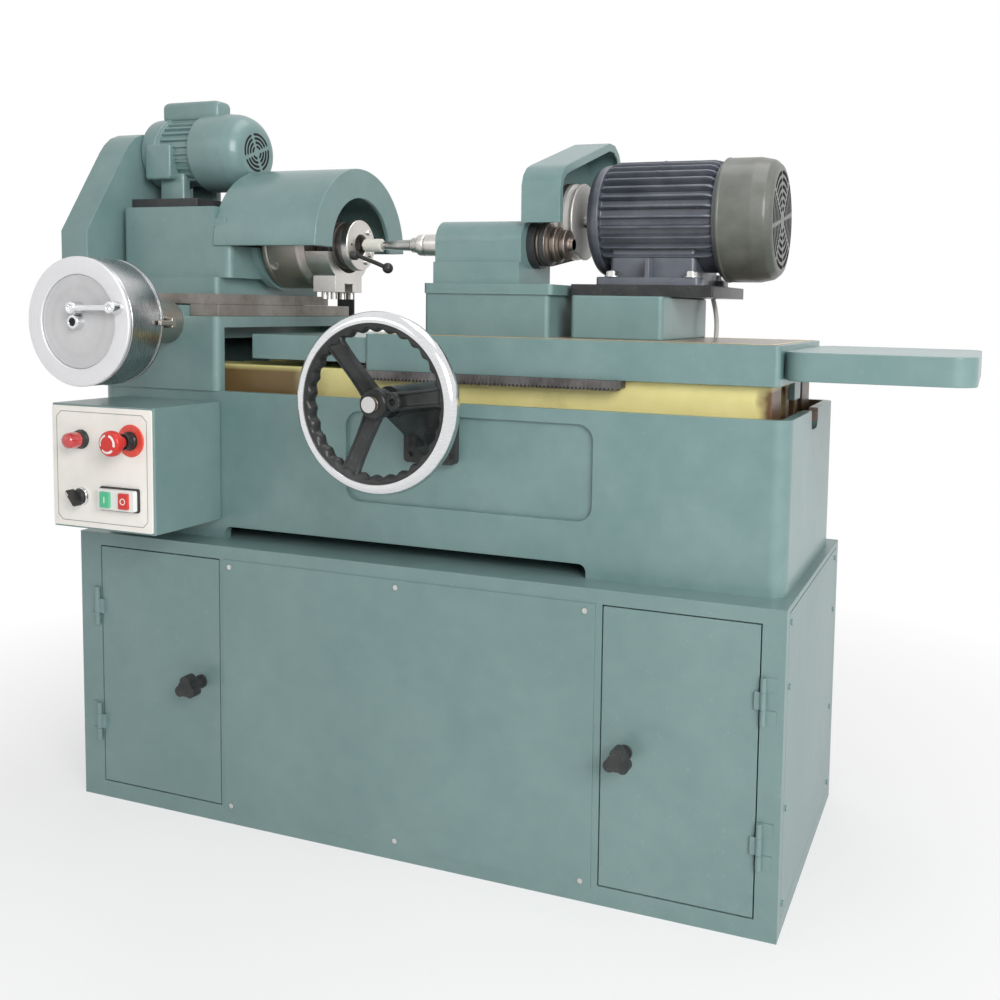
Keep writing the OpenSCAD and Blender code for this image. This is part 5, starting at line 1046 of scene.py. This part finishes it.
def area_lamp(name, where, aim, size, power):
    lamp = bpy.data.lights.new(name, "AREA")
    lamp.shape = "RECTANGLE"
    lamp.size, lamp.size_y = size
    lamp.energy = power
    holder = bpy.data.objects.new(name, lamp)
    bpy.context.scene.collection.objects.link(holder)
    holder.location = where
    holder.rotation_euler = (Vector(aim) - Vector(where)).to_track_quat("-Z", "Y").to_euler()


def build_studio():
    """A pale floor that fades to white away from the machine, a white surround, and three broad soft
    lamps."""
    world = bpy.data.worlds.new("surround")
    bpy.context.scene.world = world
    world.use_nodes = True
    tree = world.node_tree
    backdrop = next(n for n in tree.nodes if n.type == "BACKGROUND")
    backdrop.inputs["Color"].default_value = (1, 1, 1, 1)
    tree.links.new(faded(tree, seen_directly(tree), 0.0, 1.0, 0.27, 1.0), backdrop.inputs["Strength"])
    area_lamp("key", (2.6, -2.6, 2.0), (0.45, -0.1, 0.6), (1.8, 1.8), 110)
    area_lamp("fill", (-2.0, -3.4, 2.4), (-0.2, 0.0, 0.7), (2.2, 1.6), 10)
    area_lamp("over", (0.6, 0.2, 3.4), (0.2, 0.0, 0.8), (2.4, 1.4), 26)
    mesh = bpy.data.meshes.new("floor")
    reach = 60.0
    mesh.from_pydata([(-reach, -reach, 0), (reach, -reach, 0), (reach, reach, 0), (-reach, reach, 0)], [],
                     [(0, 1, 2, 3)])
    floor = bpy.data.objects.new("floor", mesh)
    bpy.context.scene.collection.objects.link(floor)
    material, tree, shader, place = fresh_material("pale_floor")
    tree.links.new(blended(tree, noise(tree, place, 2.0), (0.90, 0.90, 0.90, 1), (0.94, 0.94, 0.94, 1)),
                   shader.inputs["Base Color"])
    shader.inputs["Roughness"].default_value = 0.7
    away = new_node(tree, "ShaderNodeVectorMath", {0: place}, operation="LENGTH").outputs["Value"]
    white = calc(tree, "MULTIPLY", faded(tree, away, 0.6, 1.6, 0.55, 1.0), seen_directly(tree))
    glow = new_node(tree, "ShaderNodeEmission", {"Color": (1, 1, 1, 1), "Strength": 1.0})
    mixed = new_node(tree, "ShaderNodeMixShader", {0: white, 1: shader.outputs[0], 2: glow.outputs[0]})
    surface = next(n for n in tree.nodes if n.type == "OUTPUT_MATERIAL")
    tree.links.new(mixed.outputs[0], surface.inputs["Surface"])
    mesh.materials.append(material)


def seen_directly(tree):
    """One for rays from the camera, off gloss or through glass, else nought."""
    rays = tree.nodes.new("ShaderNodeLightPath")
    both = calc(tree, "MAXIMUM", rays.outputs["Is Camera Ray"], rays.outputs["Is Glossy Ray"])
    return calc(tree, "MAXIMUM", both, rays.outputs["Is Transmission Ray"])


build_handwheel()
build_dial()
build_control_box()
build_wheelhead_motor()
build_pulleys()
build_guard_edge()
build_spindle_nose()
build_grinding_spindle()
build_work_motor()
build_table_field()
place_camera()
build_studio()
scene = bpy.context.scene
scene.view_settings.view_transform = "Standard"
